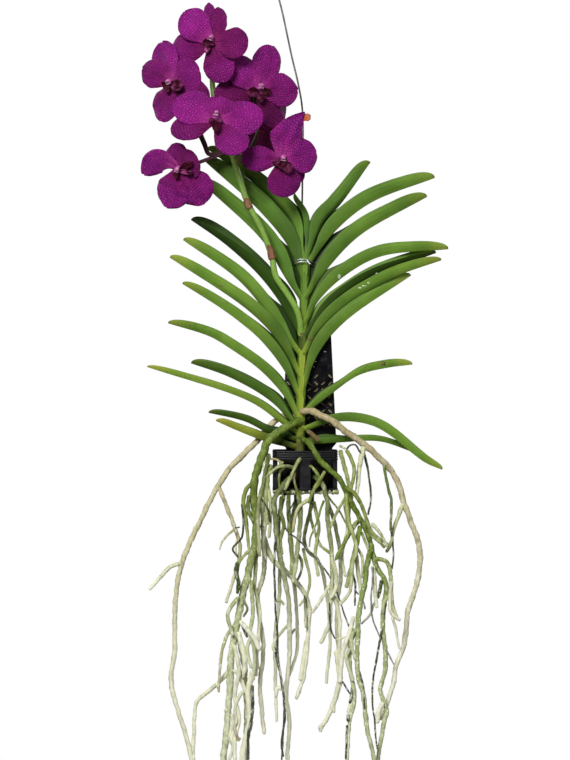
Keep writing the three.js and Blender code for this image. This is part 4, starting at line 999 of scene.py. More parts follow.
def leaf_finish():
    """Leaf skin: parallel veins, cloudy green, a paler keel, yellower with age and at the sheath, and
    painted shade in the fold, the axil and beside the keel.
    """
    material, shader, where = finish("leaf_skin", {"Specular IOR Level": 0.18})
    tree = where.id_data
    pattern = result(tree, "ShaderNodeUVMap", uv_map="pattern")
    split = apart(pattern)
    age, inside, sheath, dark = (told(where, name) for name in ("age", "inside", "sheath", "dark"))
    veins = grain(stretched(pattern, (95, 2.2, 1)), 1, 3, 0.6)
    cloud = grain(where, 24, 4, 0.55)
    young = ramp(cloud, (0.3, "#3f641d"), (0.7, "#55802a"))
    old = ramp(cloud, (0.3, "#628a2b"), (0.7, "#84a63c"))
    green = mixed(age, young, old)
    green = mixed(level(age, 1.0, 2.0), green, "#a9a83a")
    green = mixed(level(veins, 0.45, 0.8, 0.0, 0.45), green, "#93b24c")
    green = mixed(level(veins, 0.5, 0.2, 0.0, 0.45), green, "#34561a")
    from_keel = reckon("ABSOLUTE", reckon("SUBTRACT", split["X"], 0.5))
    green = mixed(level(from_keel, 0.022, 0.004, 0.0, 0.35), green, "#a0b955")
    green = mixed(level(from_keel, 0.47, 0.497, 0.0, 0.5), green, "#3c5a1e")
    streaks = level(grain(stretched(pattern, (30, 1.5, 1)), 1, 2), 0.35, 0.7)
    yellow = mixed(streaks, "#6f8f26", "#a3aa3a")
    yellow = mixed(level(grain(where, 210, 3), 0.56, 0.7, 0.0, 0.7), yellow, "#7d4f1e")
    wrapped = times(sheath, level(from_keel, 0.12, 0.42, 0.15, 1.0))
    wrapped = times(wrapped, height_level(where, 180, 110, 0.15, 1.0))
    green = mixed(wrapped, green, yellow)
    withered = times(sheath, height_level(where, 26, 6, 0.0, 0.85))
    green = mixed(times(withered, level(cloud, 0.3, 0.6, 0.6, 1.0)), green, "#4a4222")
    tip_share = level(split["Y"], 0.84, 1.0, 0.0, 0.6)
    green = mixed(times(tip_share, age), green, "#b6b24a")
    ragged = level(grain(where, 300, 3), 0, 1, -0.012, 0.012)
    scorch = level(reckon("ADD", split["Y"], ragged), 0.988, 1.0, 0.0, 0.8)
    green = mixed(scorch, green, "#5d5230")
    # painted shade: the fold's inner face and the places told dark are darkened to deep green
    shadowed = reckon("MAXIMUM", inside, dark)
    green = mixed(times(shadowed, 0.96), green, "#1b3107")
    spots = put(tree, "ShaderNodeTexVoronoi", {"Vector": where, "Scale": 46.0, "Randomness": 1.0})
    spot_draw = result(tree, "ShaderNodeSeparateColor", {0: spots.outputs["Color"]})
    spot = times(reckon("GREATER_THAN", spot_draw, 0.92), level(spots.outputs["Distance"], 0.08, 0.04))
    coat(shader, mixed(spot, green, "#2c2a12"), level(cloud, 0.2, 0.8, 0.38, 0.52), veins, 0.0003)
    return material


leaf_skin = leaf_finish()
for leaf_name, (keel, wide, more) in LEAVES.items():
    side = -1 if "left" in leaf_name else 1
    folded = leaf_mesh(leaf_name, side, keel, wide, **more)
    leaf = added(leaf_name.replace("leaf_", "strap_leaf_"), folded, leaf_skin)
    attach(leaf, "root")
    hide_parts(leaf_name)

# ---------------- flower spike
# A firm green stalk that leaves the stem in front of a leaf axil and leans left. Each joint carries a dry
# brown-red bract, wrapped half round it and pointed.
SPIKE_ROUTE = [
    (-5, -1, 138), (-6, -8, 154), (-11, -14, 170), (-22, -18, 188), (-35, -22, 208), (-40, -23, 232),
    (-52, -27, 264), (-69, -31, 296), (-82, -34, 336), (-90, -34, 362), (-104, -30, 400), (-110, -28, 432),
    (-110, -28, 462),
]
SPIKE_R, SPIKE_TIP_R = 3.8, 3.3
# each bract's foot, the place where it leaves the spike, its tip, and how far it has dried
BRACTS = [
    ((-39, -23, 228), (-42, -24, 240), (-46, -27, 246), 1.0),
    ((-66, -31, 288), (-70, -32, 297), (-73, -36, 301), 0.9),
    ((-80, -34, 341), (-76, -37, 348), (-70, -40, 351), 0.3),
    ((-88, -34, 356), (-94, -37, 361), (-100, -40, 362), 0.4),
]
BRACT_R = 4.9
BRACT_THICK = 0.5
BRACT_WRAP, BRACT_ROWS = 160, 10
BRACT_ACROSS = (-1, -0.66, -0.33, 0, 0.33, 0.66, 1)


def gathered(parts):
    """One mesh of parts: each has points, faces, its pattern places or one for all, and named values."""
    around, values = [], {}
    for points, _, places, named in parts:
        if places:
            around += places if isinstance(places, list) else [places] * len(points)
        for key, value in named.items():
            values.setdefault(key, []).extend(value if isinstance(value, list) else [value] * len(points))
    return solid_mesh(*joined([part[:2] for part in parts]), around, values)


spike_skin, spike_shader, spike_where = finish("spike_skin", {"Roughness": 0.48, "Specular IOR Level": 0.4})
spike_tint = told(spike_where, "tint", "Color")
spike_streaks = grain(stretched(spike_where, (1100, 1100, 60), (0, 0.35, 0)), 1, 3)
spike_shade = ramp(spike_streaks, (0.25, "#b9b9b9"), (0.75, "#ffffff"))
spike_colour = mixed(1.0, spike_tint, spike_shade, "MULTIPLY")
spike_spots = level(grain(spike_where, 900, 2), 0.62, 0.72, 0.0, 0.5)
coat(spike_shader, mixed(spike_spots, spike_colour, "#4a2f2c"), relief=spike_streaks, depth=0.0002)
# painted shade: the spike's green darkens towards its top, where it runs behind the blooms
spike_strands = [strand(SPIKE_ROUTE, SPIKE_R, SPIKE_TIP_R, 3.0, ("#98c552", "#7c9c44"))]
for below, above, _, _ in BRACTS:
    knot = (Vector(below) + Vector(above)) / 2
    spike_strands.append(strand(
        [below, knot, above], SPIKE_R + 0.3, SPIKE_R - 0.4, 2.0, ("#86a84e", "#7e8f4a"), round_start=True,
    ))
spike = grown("flowering_spike", strand_mesh("spike_path", spike_strands), SKIN, {
    **SMOOTH_SKIN, "Sides": 16, "Lump height": 0.16, "Lump scale": 90.0, "Seed": 4.0,
    "Material": spike_skin,
})
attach(spike, "root")
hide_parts("flower_spike")

bract_skin, bract_shader, bract_where = finish("bract_skin", {"Roughness": 0.7})
bract_dry = told(bract_where, "dry")
bract_fibre = grain(stretched(bract_where, (1500, 1500, 150)), 1, 3)
bract_brown = ramp(bract_fibre, (0.3, "#5e3a28"), (0.7, "#946446"))
bract_green = ramp(bract_fibre, (0.3, "#6c7a30"), (0.7, "#a3a653"))
coat(bract_shader, mixed(bract_dry, bract_green, bract_brown), relief=bract_fibre, depth=0.0003)
bract_parts = []
for below, above, tip, dry in BRACTS:
    spine = smooth_path([at(*below), at(*above), at(*tip)], 1.0 * MM)
    front_rows, back_rows = [], []
    for k in range(BRACT_ROWS + 1):
        share = k / BRACT_ROWS
        middle, along = path_at(spine, share)
        radius = BRACT_R * (1 - 0.5 * share ** 2)
        facing = Vector((0, -1, 0)) - along * Vector((0, -1, 0)).dot(along)
        facing.normalize()
        wrap = math.radians(BRACT_WRAP) * (1 - share ** 2) + 0.06
        front_row, back_row = [], []
        for v in BRACT_ACROSS:
            ray = Quaternion(along, v * wrap) @ facing
            front_row.append(middle + ray * radius * MM)
            back_row.append(middle + ray * (radius - BRACT_THICK) * MM)
        front_rows.append(front_row)
        back_rows.append(back_row)
    bract_parts.append((*blade(front_rows, back_rows), None, {"dry": dry}))
bracts = added("bracts", gathered(bract_parts), bract_skin)
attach(bracts, "root")

# ---------------- blooms
# Seven blooms, each on its own stalk: a dorsal sepal, two petals and two lower sepals, broad and wavy,
# netted deep magenta on purple; a pink-white column with its cap, and a small maroon lip under it. They
# grow from the spike and each tepal from the heart. Tepals that lie in shadow get painted shade. The last
# one hangs behind the others, faces away and is painted darker, in shade.
SEPAL_RIGHT, SEPAL_LEFT = 3, 4  # which of a bloom's tepals are the lower ones
# Each bloom has its heart, its turns in degrees, how high its column stands and how long it is, the points
# of its stalk, and its tepals: the dorsal sepal, right and left petal, right and left lower sepal, and on
# bloom_1 a curled tip. A tepal has its tip (x, z), its width, its lift out of the bloom's face, and what is
# its own: shade, painted shade for a tepal that lies in shadow, its widest place, how far it is pointed
# (point), swings aside and is ruffled. The lobes of a lip have tip, width, lift and how lit they are,
# painted light that turns their dark maroon pink.
BLOOMS = {
    "bloom_1": {
        "heart": (-110.5, -58, 481.5), "turn": (-12, 8, 18), "column": (5, 11),
        "stalk": [(-109, -28, 452)],
        "stalk_tints": ("#8a5a78", "#7d8a55"),
        "tepals": [
            ((-102, 524.5), 29, -6, {"widest": 0.5, "shade": 0.5}),
            ((-67, 479.5), 39, -1, {"shade": 0.55}),
            ((-145, 518), 40, 4, {}),
            ((-95.5, 434.5), 38, -9, {"shade": 0.3}),
            ((-160.5, 473.5), 40, -12, {"shade": 0.3}),
            ((-114, 530.5), 13, -8, {"widest": 0.8, "shade": 0.2}),
        ],
        "lip": [((-117.5, 468), 7, 7, 1.0), ((-120, 480.5), 9, 3, 0.3), ((-106.5, 478), 5, 4, 0.6)],
    },
    "bloom_2": {
        "heart": (-158, -48, 434.5), "turn": (-34, 4, -22), "column": (2, 9),
        "stalk": [
            (-139, -34, 414.5), (-126.5, -40, 380), (-119.5, -42, 363.5), (-114.5, -42, 352),
            (-107, -39, 351.5), (-96, -34, 358),
        ],
        "stalk_r": (5.0, 2.2), "stalk_tints": ("#3e1430", "#5f3a40"),
        "tepals": [
            ((-171.5, 485.5), 38, -3, {}),
            ((-124, 448.5), 45, -5, {"shade": 0.2}),
            ((-194, 456.5), 34, 1, {"shade": 0.3}),
            ((-114, 411), 38, -13, {"shade": 0.6}),
            ((-171, 390.5), 40, -4, {"shade": 0.15}),
        ],
        "lip": [((-143.5, 429.5), 15, 7, 0.5), ((-168, 431.5), 9, 5, 0.0), ((-162.5, 422), 9, 8, 0.1)],
    },
    "bloom_3": {
        "heart": (-55.5, -40, 426.5), "turn": (22, 8, 10), "column": (5, 11),
        "stalk": [(-58, -18, 408), (-58, -20, 374), (-81.5, -33, 339.5)],
        "stalk_tints": ("#5c2248", "#5f6a3a"),
        "tepals": [
            ((-40, 482.5), 37, -2, {"shade": 0.1}),
            ((-9, 429.5), 41, 2, {"shade": 0.25}),
            ((-87, 465), 41, -4, {}),
            ((-27, 389), 42, -12, {"shade": 0.6}),
            ((-108, 421), 36, -14, {"shade": 0.6}),
        ],
        "lip": [((-68.5, 422.5), 12, 5, 0.35), ((-41, 424), 9, 4, 0.1), ((-55.5, 412.5), 14, 9, 0.3)],
    },
    "bloom_4": {
        "heart": (-104.5, -88, 387.5), "turn": (0, 24, 8), "column": (5.5, 11),
        "stalk": [(-96.5, -32, 377)],
        "tepals": [
            ((-101, 415.5), 50, 3, {"shade": 0.15}),
            ((-49.5, 392.5), 46, 0, {}),
            ((-152, 414), 47, -1, {}),
            ((-73.5, 348.5), 41, -4, {"shade": 0.1}),
            ((-157.5, 374), 36, -7, {"shade": 0.4}),
        ],
        "lip": [((-104, 371), 10, 10, 0.0), ((-112.5, 384.5), 6, 6, 0.4), ((-97, 384.5), 6, 6, 0.4)],
    },
    "bloom_5": {
        "heart": (-27, -62, 344), "turn": (8, -6, 4), "column": (2.5, 10),
        "stalk": [(-61.5, -42, 342.5), (-79.5, -36, 342)],
        "stalk_tints": ("#6c2a52", "#8a8a4a"),
        "tepals": [
            ((-0.5, 399), 40, 3, {"point": 0.9, "widest": 0.42, "swing": -13}),
            ((13.5, 351), 42, 0, {}),
            ((-75, 344.5), 31, -3, {"shade": 0.15}),
            ((-5.5, 317.5), 27, -10, {"shade": 0.5}),
            ((-24, 299.5), 41, -3, {"shade": 0.3}),
        ],
        "lip": [((-18, 328), 13, 8, 0.2), ((-38.5, 337.5), 9, 4, 0.4), ((-30, 331.5), 9, 7, 0.0)],
    },
    "bloom_6": {
        "heart": (-148.5, -58, 332.5), "turn": (-26, -12, 20), "column": (1.5, 8),
        "stalk": [(-91, -36, 355)],
        "stalk_r": (2.6, 2.0), "stalk_tints": ("#6a3050", "#5a3038"),
        "tepals": [
            ((-155.5, 363), 33, -4, {"shade": 0.35}),
            ((-125.5, 343), 36, 1, {"shade": 0.55}),
            ((-191.5, 327.5), 30, 0, {"swing": 27}),
            ((-115.5, 294), 48, -5, {"ruffle": 1.3, "shade": 0.2}),
            ((-163.5, 288.5), 43, -2, {"ruffle": 1.9}),
        ],
        "lip": [((-131.5, 339), 8, 7, 0.0), ((-151.5, 320.5), 8, 7, 0.0), ((-131.5, 327), 6, 8, 0.9)],
    },
    "bloom_7": {
        "heart": (-60, 18, 387.5), "turn": (150, -4, 0), "column": (2.5, 10),
        "stalk": [(-80, 4, 382.5), (-97.5, -31.5, 381)],
        "tepals": [
            ((-60, 431.5), 34, -5, {"shade": 0.85}),
            ((-98, 407.5), 38, -5, {"shade": 0.85}),
            ((-25, 403.5), 38, -5, {"shade": 0.85}),
            ((-83.5, 356), 38, -5, {"shade": 0.85}),
            ((-38, 351.5), 38, -5, {"shade": 0.85}),
        ],
        "lip": [((-60.5, 370.5), 12, 9, 0.3), ((-70.5, 382.5), 8, 5, 0.2), ((-50, 381.5), 8, 5, 0.2)],
    },
}
TEPAL_THICK = 1.0
TEPAL_CUP = -0.12
TEPAL_BOW = 5.0
TEPAL_WIDEST, TEPAL_CLAW = 0.6, 0.34
# how far its edges wave, its blade swells, and its middle sinks
TEPAL_WAVE, TEPAL_SWELL, TEPAL_GROOVE = 2.5, 3.0, 0.7
TEPAL_UNEVEN, TEPAL_SCALLOP = 0.05, 0.022  # how much its half width changes, slowly and in small waves
TEPAL_ROUND_FROM, TEPAL_ROUND_LONG = 0.72, 0.276  # shares of its length, with closer rows at the tip
HEART_R = 5.0
STALK_TOP = (2, 9, 14)  # how far behind the heart the stalk's first points lie
STALK_R, STALK_TINTS = (2.6, 1.7), ("#5c2248", "#6f7f48")  # of a stalk that doesn't tell its own
COLUMN_R, COLUMN_SIDES = 2.8, 14
THROAT, LIP_RIDGES, SPUR = (3.5, -1.5), (6, -2.5), (3.0, -4.5)  # out of the face and up towards its top
LIP_RIDGE_HALVES, SPUR_HALVES = (0.7, 3.2, 1.0), (2.2, 3.4, 2.2)
# the cap, two wings and chin: how far ahead of the column's tip, above it and aside, half sizes, how rough
# and how pink
COLUMN_LUMPS = [
    (0.6, -1.2, 0, (2.4, 1.0, 1.4), 0.5, 0.6),
    (-2.5, -2.6, -2.1, (0.8, 1.1, 2.2), 0.4, 0.7),
    (-2.5, -2.6, 2.1, (0.8, 1.1, 2.2), 0.4, 0.7),
    (-2, -4, 0, (3.4, 0.7, 1.8), 0.5, 0.0),
]


def face_of(place, turns):
    """The middle of a bloom and its directions: out of its face, right, up, and its own up and right."""
    yaw, pitch, roll = (math.radians(angle) for angle in turns)
    out = Vector((math.sin(yaw) * math.cos(pitch), -math.cos(yaw) * math.cos(pitch), math.sin(pitch)))
    right = Vector((math.cos(yaw), math.sin(yaw), 0))
    up = out.cross(right)
    dorsal = up * math.cos(roll) + right * math.sin(roll)
    across = right * math.cos(roll) - up * math.sin(roll)
    return SimpleNamespace(middle=at(*place), out=out, right=right, up=up, dorsal=dorsal, across=across)


def tip_in_face(face, place, x, z, lift):
    """The point that is seen at x, z from the front and stands lift millimetres out of the bloom's face."""
    rise = (z - place[2] - face.out.z * lift) / face.up.z
    aside = (x - place[0] - face.up.x * rise - face.out.x * lift) / face.right.x
    return face.middle + (face.right * aside + face.up * rise + face.out * lift) * MM


def tepal_width(t, point, widest):
    """Half the outline: narrow at the claw, widest past the middle, round or pointed at the end."""
    if t > widest:
        share = (t - widest) / (1.002 - widest)
        rounded = max(0, 1 - share ** 2.1) ** 0.5
        pointed = (1 - share) * (1 + 0.35 * share)
        return rounded + (pointed - rounded) * point
    return TEPAL_CLAW + (1 - TEPAL_CLAW) * ease(0, widest, t)


def petal(base, tip, out, wide, own, cup=TEPAL_CUP, rows=34, columns=19, thick=TEPAL_THICK, point=0.0,
          widest=TEPAL_WIDEST, swing=0.0, ruffle=1.0, tilt=0.0, bow=TEPAL_BOW, start=0.03):
    """A blade from base to tip. It bows out of the bloom's face, and swings aside on its way."""
    middle_rows = rows * 2 // 3
    tip_rows = rows - middle_rows
    stations = [start + (TEPAL_ROUND_FROM - start) * k / middle_rows for k in range(middle_rows)]
    stations += [
        TEPAL_ROUND_FROM + TEPAL_ROUND_LONG * math.sin(math.radians(90 * k / tip_rows))
        for k in range(tip_rows + 1)
    ]
    straight = (tip - base).normalized()
    control = base.lerp(tip, 0.45) + (out * bow + straight.cross(out) * swing) * MM
    front, back, around = [], [], []
    for t in stations:
        place = base * (1 - t) ** 2 + control * 2 * t * (1 - t) + tip * t * t
        along = ((control - base) * (1 - t) + (tip - control) * t).normalized()
        off = (out - along * out.dot(along)).normalized()
        off = Quaternion(along, math.radians(tilt * t)) @ off
        side = along.cross(off)
        front_row, back_row = [], []
        for k in range(columns):
            v = 2 * k / (columns - 1) - 1
            edge_noise = 1 + TEPAL_UNEVEN * noise.noise(own + Vector((t * 5, math.copysign(3, v), 0)))
            small_waves = noise.noise(own + Vector((t * 17, math.copysign(5, v), 1)))
            scallop = 1 + TEPAL_SCALLOP * ruffle * small_waves
            half = wide / 2 * tepal_width(t, point, widest) * edge_noise * scallop
            wave = ruffle * TEPAL_WAVE * noise.noise(own + Vector((t * 6, v * 1.4, 2)))
            wave *= v * v * ease(0.15, 0.5, t)
            swell = TEPAL_SWELL * noise.noise(own + Vector((t * 2.4, v * 1.5, 7))) * ease(0.1, 0.4, t)
            groove = -TEPAL_GROOVE * math.exp(-(v * half / 1.6) ** 2) * (1 - ease(0.55, 0.95, t))
            rise = cup * half * v * v + wave + swell + groove
            middle = place + (side * v * half + off * rise) * MM
            depth = thick / 2 * math.sqrt(max(0.06, 1 - abs(v) ** 6)) * (1 - 0.3 * t)
            front_row.append(middle + off * depth * MM)
            back_row.append(middle - off * depth * MM)
            around.append((v * half / wide + 0.5, t))
        front.append(front_row)
        back.append(back_row)
    points, faces = blade(front, back)
    return points, faces, around * 2


def in_face(face, out, up, across=0.0):
    """The point so far out of a bloom's face, towards its dorsal sepal and across, in millimetres."""
    return face.middle + (face.out * out + face.dorsal * up + face.across * across) * MM


def rounded_lump(middle, axes, halves, own, rough=0.12, rings=9, sides=12):
    """A lumpy round body, with half its size along each of three directions."""
    points = []
    for ring in range(rings + 1):
        lift = math.pi * ring / rings - math.pi / 2
        for k in range(sides):
            turn = 2 * math.pi * k / sides
            ray = (math.cos(lift) * math.cos(turn), math.cos(lift) * math.sin(turn), math.sin(lift))
            size = 1 + rough * noise.noise(own + Vector(ray) * 1.6)
            spot = middle.copy()
            for share, direction, half in zip(ray, axes, halves):
                spot += direction * share * half * size * MM
            points.append(spot)
    return points, ring_faces(rings + 1, sides)


def petal_finish():
    """Petal skin: a net of deep purple veins round lighter cells, more red and paler near the middle, and
    darkened by painted shade where a tepal is told it lies in shadow.
    """
    material, shader, where = finish("petal_skin", {
        "Sheen Weight": 0.03, "Sheen Roughness": 0.4, "Specular IOR Level": 0.12,
    })
    tree = where.id_data
    pattern = result(tree, "ShaderNodeUVMap", uv_map="pattern")
    split = apart(pattern)
    shade, lower = told(where, "shade"), told(where, "lower")
    drift = put(tree, "ShaderNodeTexNoise", {"Vector": pattern, "Scale": 5.0, "Detail": 2.0})
    net_place = mixed(0.03, pattern, drift.outputs["Color"], "LINEAR_LIGHT")
    net_place = stretched(net_place, (14, 17, 1))
    net = {"Vector": net_place, "Scale": 1.0, "Randomness": 0.4}
    cells = put(tree, "ShaderNodeTexVoronoi", net)
    walls = put(tree, "ShaderNodeTexVoronoi", net, feature="DISTANCE_TO_EDGE")
    cloud = grain(where, 34, 4, 0.6)
    skin = ramp(cloud, (0.28, "#6f0c67"), (0.5, "#871276"), (0.74, "#9b1d8a"))
    light = put(tree, "ShaderNodeSeparateColor", {0: cells.outputs["Color"]}).outputs[1]
    patchy = level(grain(where, 60, 2), 0.35, 0.65, 0.35, 1.0)
    light = times(level(light, 0.1, 1.0, 0.5, 1.0), patchy)
    dots = times(level(cells.outputs["Distance"], 0.46, 0.1), light)
    skin = mixed(times(dots, 0.42), skin, "#c45cb4")
    skin = mixed(level(walls.outputs["Distance"], 0.14, 0.0, 0.0, 0.6), skin, "#4f0a50")
    veins = grain(stretched(pattern, (42, 1.6, 1)), 1, 2)
    skin = mixed(level(veins, 0.5, 0.7, 0.0, 0.45), skin, "#5a0c56")
    near_claw = level(split["Y"], 0.36, 0.06, 0.0, 0.8)
    near_claw = times(near_claw, level(veins, 0.35, 0.6, 0.25, 1.0))
    upper = reckon("SUBTRACT", 1.0, lower)
    skin = mixed(times(near_claw, upper), skin, "#b8489c")
    # the lower sepals turn dark maroon towards the claw along the veins: partly their own darker base,
    # partly painted shade near the heart
    deep = times(level(split["Y"], 0.62, 0.05, 0.0, 0.85), level(veins, 0.3, 0.6, 0.5, 1.0))
    skin = mixed(times(deep, lower), skin, "#560a38")
    rosy = level(split["Y"], 0.6, 0.15, 0.0, 0.22)
    skin = mixed(rosy, skin, "#8a1450")
    # painted shade: a tepal told it lies in shadow is darkened and reddened by its shade
    painted_shade_skin = mixed(1.0, skin, "#9c4660", "MULTIPLY")
    relief = reckon("ADD", level(walls.outputs["Distance"], 0.0, 0.25), veins)
    coat(shader, mixed(shade, skin, painted_shade_skin), level(cloud, 0.2, 0.8, 0.5, 0.66), relief, 0.0006)
    return material


def column_finish():
    """The column's waxy skin: pink-magenta, paler and creamy at its cap and rim."""
    material, shader, where = finish("column_skin", {"Roughness": 0.5, "Specular IOR Level": 0.25})
    veins = grain(where, 500, 3)
    pale = ramp(veins, (0.35, "#b85a9e"), (0.62, "#e6b9c2"))
    rosy = ramp(veins, (0.35, "#8a1e7c"), (0.62, "#b950a8"))
    coat(shader, mixed(told(where, "flush"), pale, rosy))
    return material


def lip_finish():
    """The lip's skin: velvety dark maroon with stripes, turned pink in patches by painted light where a
    lobe is lit.
    """
    material, shader, where = finish("lip_skin", {"Roughness": 0.6, "Specular IOR Level": 0.12})
    pattern = result(where.id_data, "ShaderNodeUVMap", uv_map="pattern")
    stripes = grain(stretched(pattern, (22, 2, 1)), 1, 2)
    maroon = ramp(stripes, (0.3, "#20020e"), (0.7, "#4a0824"))
    # painted light: the pink that a lit lobe takes in patches
    pink = ramp(stripes, (0.3, "#7a1a55"), (0.7, "#b86098"))
    spread = level(grain(where, 160, 2), 0.42, 0.62, 0.0, 1.0)
    lit = times(told(where, "lit"), spread)
    coat(shader, mixed(lit, maroon, pink), relief=stripes, depth=0.0003)
    return material


petal_skin, column_skin, lip_skin = petal_finish(), column_finish(), lip_finish()
for bloom_name, bloom in BLOOMS.items():
    heart = bloom["heart"]
    face = face_of(heart, bloom["turn"])
    axes = (face.across, face.dorsal, face.out)
    own = Vector((own_number(bloom_name), 0, 0))
    parts = []
    for k, (tip, wide, lift, more) in enumerate(bloom["tepals"]):
        more = dict(more)
        values = {"shade": more.pop("shade", 0.0), "lower": float(k in (SEPAL_RIGHT, SEPAL_LEFT))}
        end = tip_in_face(face, heart, *tip, lift)
        tepal = petal(face.middle, end, face.out, wide, own + Vector((0, 11 * k, 0)), **more)
        parts.append((*tepal, values))
    heart_lump = rounded_lump(
        face.middle - face.out * 0.5 * MM, (face.right, face.up, face.out),
        (HEART_R - 0.6, HEART_R - 0.6, HEART_R - 1), own,
    )
    parts.append((*heart_lump, (0.5, 0.08), {"shade": 0.2, "lower": 0.5}))
    tepals = added(bloom_name + "_petals", gathered(parts), petal_skin)
    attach(tepals, "root")
    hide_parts(bloom_name + "_tepals")

    behind = [tuple((face.middle - face.out * back * MM - RIM_MIDDLE) / MM) for back in STALK_TOP]
    stalk_r, stalk_tints = bloom.get("stalk_r", STALK_R), bloom.get("stalk_tints", STALK_TINTS)
    stalk = grown(bloom_name + "_stalk", strand_mesh(bloom_name + "_stalk_path", [
        strand(behind + bloom["stalk"], *stalk_r, 2.5, stalk_tints),
    ]), SKIN, {
        **SMOOTH_SKIN, "Lump height": 0.3, "Lump scale": 140.0, "Seed": 9.0, "Material": spike_skin,
    })
    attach(stalk, "root")

    column_up, column_long = bloom["column"]
    spine = smooth_path([
        in_face(face, 2, 1), in_face(face, column_long * 0.6, column_up),
        in_face(face, column_long, column_up - 1),
    ], MM)
    column_points, flush = [], []
    for k, middle in enumerate(spine):
        share = k / (len(spine) - 1)
        radius = COLUMN_R * (1.35 - 0.55 * share)
        for side in range(COLUMN_SIDES):
            turn = 2 * math.pi * side / COLUMN_SIDES
            flat = 0.8 if math.sin(turn) < 0 else 1.0
            ray = face.across * math.cos(turn) + face.dorsal * flat * math.sin(turn)
            column_points.append(middle + ray * radius * MM)
            flush.append(1.0 - 0.6 * ease(0.3, 1.0, share))
    column_faces = ring_faces(len(spine), COLUMN_SIDES, (0, len(spine) - 1))
    parts = [(column_points, column_faces, None, {"flush": flush})]
    for ahead, above, aside, halves, rough, pink in COLUMN_LUMPS:
        place = in_face(face, column_long + ahead, column_up + above, aside)
        parts.append((*rounded_lump(place, axes, halves, own, rough), None, {"flush": pink}))
    column = added(bloom_name + "_crest", gathered(parts), column_skin)
    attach(column, "root")
    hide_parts(bloom_name + "_column")

    throat = in_face(face, *THROAT)
    lobe_ends = [tip_in_face(face, heart, *tip, lift) for tip, _, lift, _ in bloom["lip"]]
    parts = []
    # each lobe's last value tells how lit it is: painted light that turns its maroon pink
    for k, (end, (_, wide, _, pink)) in enumerate(zip(lobe_ends, bloom["lip"])):
        lobe = petal(throat, end, face.out, wide, own + Vector((0, k, 3)), cup=0.3, rows=20, columns=13,
                     thick=1.3, ruffle=0.5, bow=3.5, widest=0.55)
        parts.append((*lobe, {"lit": pink}))
    lip_way = (lobe_ends[0] - throat).normalized()
    ridge_side = lip_way.cross(face.out).normalized()
    ridge_axes = (ridge_side, lip_way, ridge_side.cross(lip_way))
    for side in (-1, 0, 1):
        place = in_face(face, *LIP_RIDGES) + (lip_way * 4 + ridge_side * side * 1.7) * MM
        ridge = rounded_lump(place, ridge_axes, LIP_RIDGE_HALVES, own)
        parts.append((*ridge, (0.5 + side * 0.1, 0.3), {"lit": 0.25}))
    spur = rounded_lump(in_face(face, *SPUR), axes, SPUR_HALVES, own)
    parts.append((*spur, (0.5, 0.5), {"lit": 0.1}))
    lip = added(bloom_name + "_labellum", gathered(parts), lip_skin)
    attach(lip, "root")
    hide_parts(bloom_name + "_lip")

# ---------------- aerial roots
# Bare roots hang from the stem's foot and out between the basket's posts. Their spongy skin is pale where
# dry and green where wet, with white flecks; old ones are tan, and the thinnest are dead, dark threads.
PALE, CREAM, TAN, BROWN = "#d8dab0", "#eeedd2", "#cbbc98", "#a38e69"
GREEN, LIVE, OLIVE, DARK = "#819a36", "#637b26", "#a3ae68", "#32372f"
# the dim olive is olive darkened by painted shade, for roots where they start inside the basket
MOSS, ASH, BARK, HUSK, SHADED_OLIVE = "#354a18", "#6f6a7a", "#7f5f3e", "#d0bf90", "#59662c"
# Each root has its thickness at start and end, its tint at start and end, and its route: points (x, y, z),
# or the crown, which is the clump that roots grow from.
TAN_LEFT = [
    (3.7, 2.6, TAN, PALE,
     "-6.5 4 36.5, -9 7.8 37.5, -14 10.2 39, -24 10.2 41, -38 10 33, -52 11 17, -66 9 2, -88 4 -20, "
     "-110 0 -53, -128 -3 -90, -148 -5 -138, -155 -4 -180, -157 0 -246, -161 3 -278, -150 6 -322, "
     "-137 8 -368, -134 8 -396"),
    (2.7, 1.9, TAN, PALE, "-104 1 -44, -94 -3 -68, -85 -6 -91, -78 -5 -114, -82 -2 -142, -95 2 -184"),
    (2.7, 1.9, PALE, CREAM, "-147 -5 -136, -161 -8 -140, -173 -10 -152, -186 -12 -167"),
]
GREEN_LEFT = [
    (4.8, 3.9, GREEN, PALE,
     "-5 -6 35, -17 -17 30, -30 -22 23, -44 -25 11, -50 -26 -4, -60 -26 -36, -61 -24 -66, -59 -22 -102, "
     "-65 -20 -132, -76 -18 -180, -86 -16 -234, -89 -15 -262, -91 -14 -300, -95 -12 -348, -102 -10 -402"),
    (2.7, 1.9, OLIVE, PALE, "-60 -26 -38, -70 -29 -46, -73 -30 -60, -71 -29 -82, -65 -22 -128"),
    (2.7, 1.9, PALE, CREAM,
     "-89 -15 -262, -100 -12 -274, -116 -9 -288, -130 -8 -302, -133 -8 -342, -133 -9 -392"),
    (2.2, 1.6, OLIVE, BROWN, "-80 -17 -206, -92 -22 -218, -100 -25 -246, -103 -26 -288"),
    (3.4, 2.8, LIVE, PALE, "-82 -17 -216, -76 -8 -240, -72 -2 -270, -70 0 -300, -71 2 -342, -72 3 -409"),
]
TAN_RIGHT = [
    (4.2, 2.8, "#b29d74", "#ecebcd",
     "-4 -5 47, 8 -15 47, 18 -19 42, 30 -22 36, 42 -23 28, 54 -22 19, 74 -18 4, 96 -12 -16, 110 -8 -36, "
     "118 -5 -62, 127 -3 -86, 137 0 -112, 138 3 -138, 133 5 -166, 124 6 -194, 119 5 -234, 110 3 -257, "
     "106 2 -282, 90 0 -324"),
    (3.4, 2.4, PALE, CREAM, "71 -18 6, 66 -21 -10, 64 -23 -24, 61 -25 -54"),
    (2.7, 1.9, PALE, OLIVE, "118 -5 -62, 106 -12 -94, 101 -15 -114, 97 -16 -122"),
    (1.9, 1.5, LIVE, "#56683a", "93 -13 -13, 100 -20 -48, 103 -22 -61, 102 -22 -96"),
    (1.5, 1.2, DARK, DARK, "66 -18 10, 72 -10 -8, 77 -6 -36, 79 -4 -60, 76 -3 -78"),
]
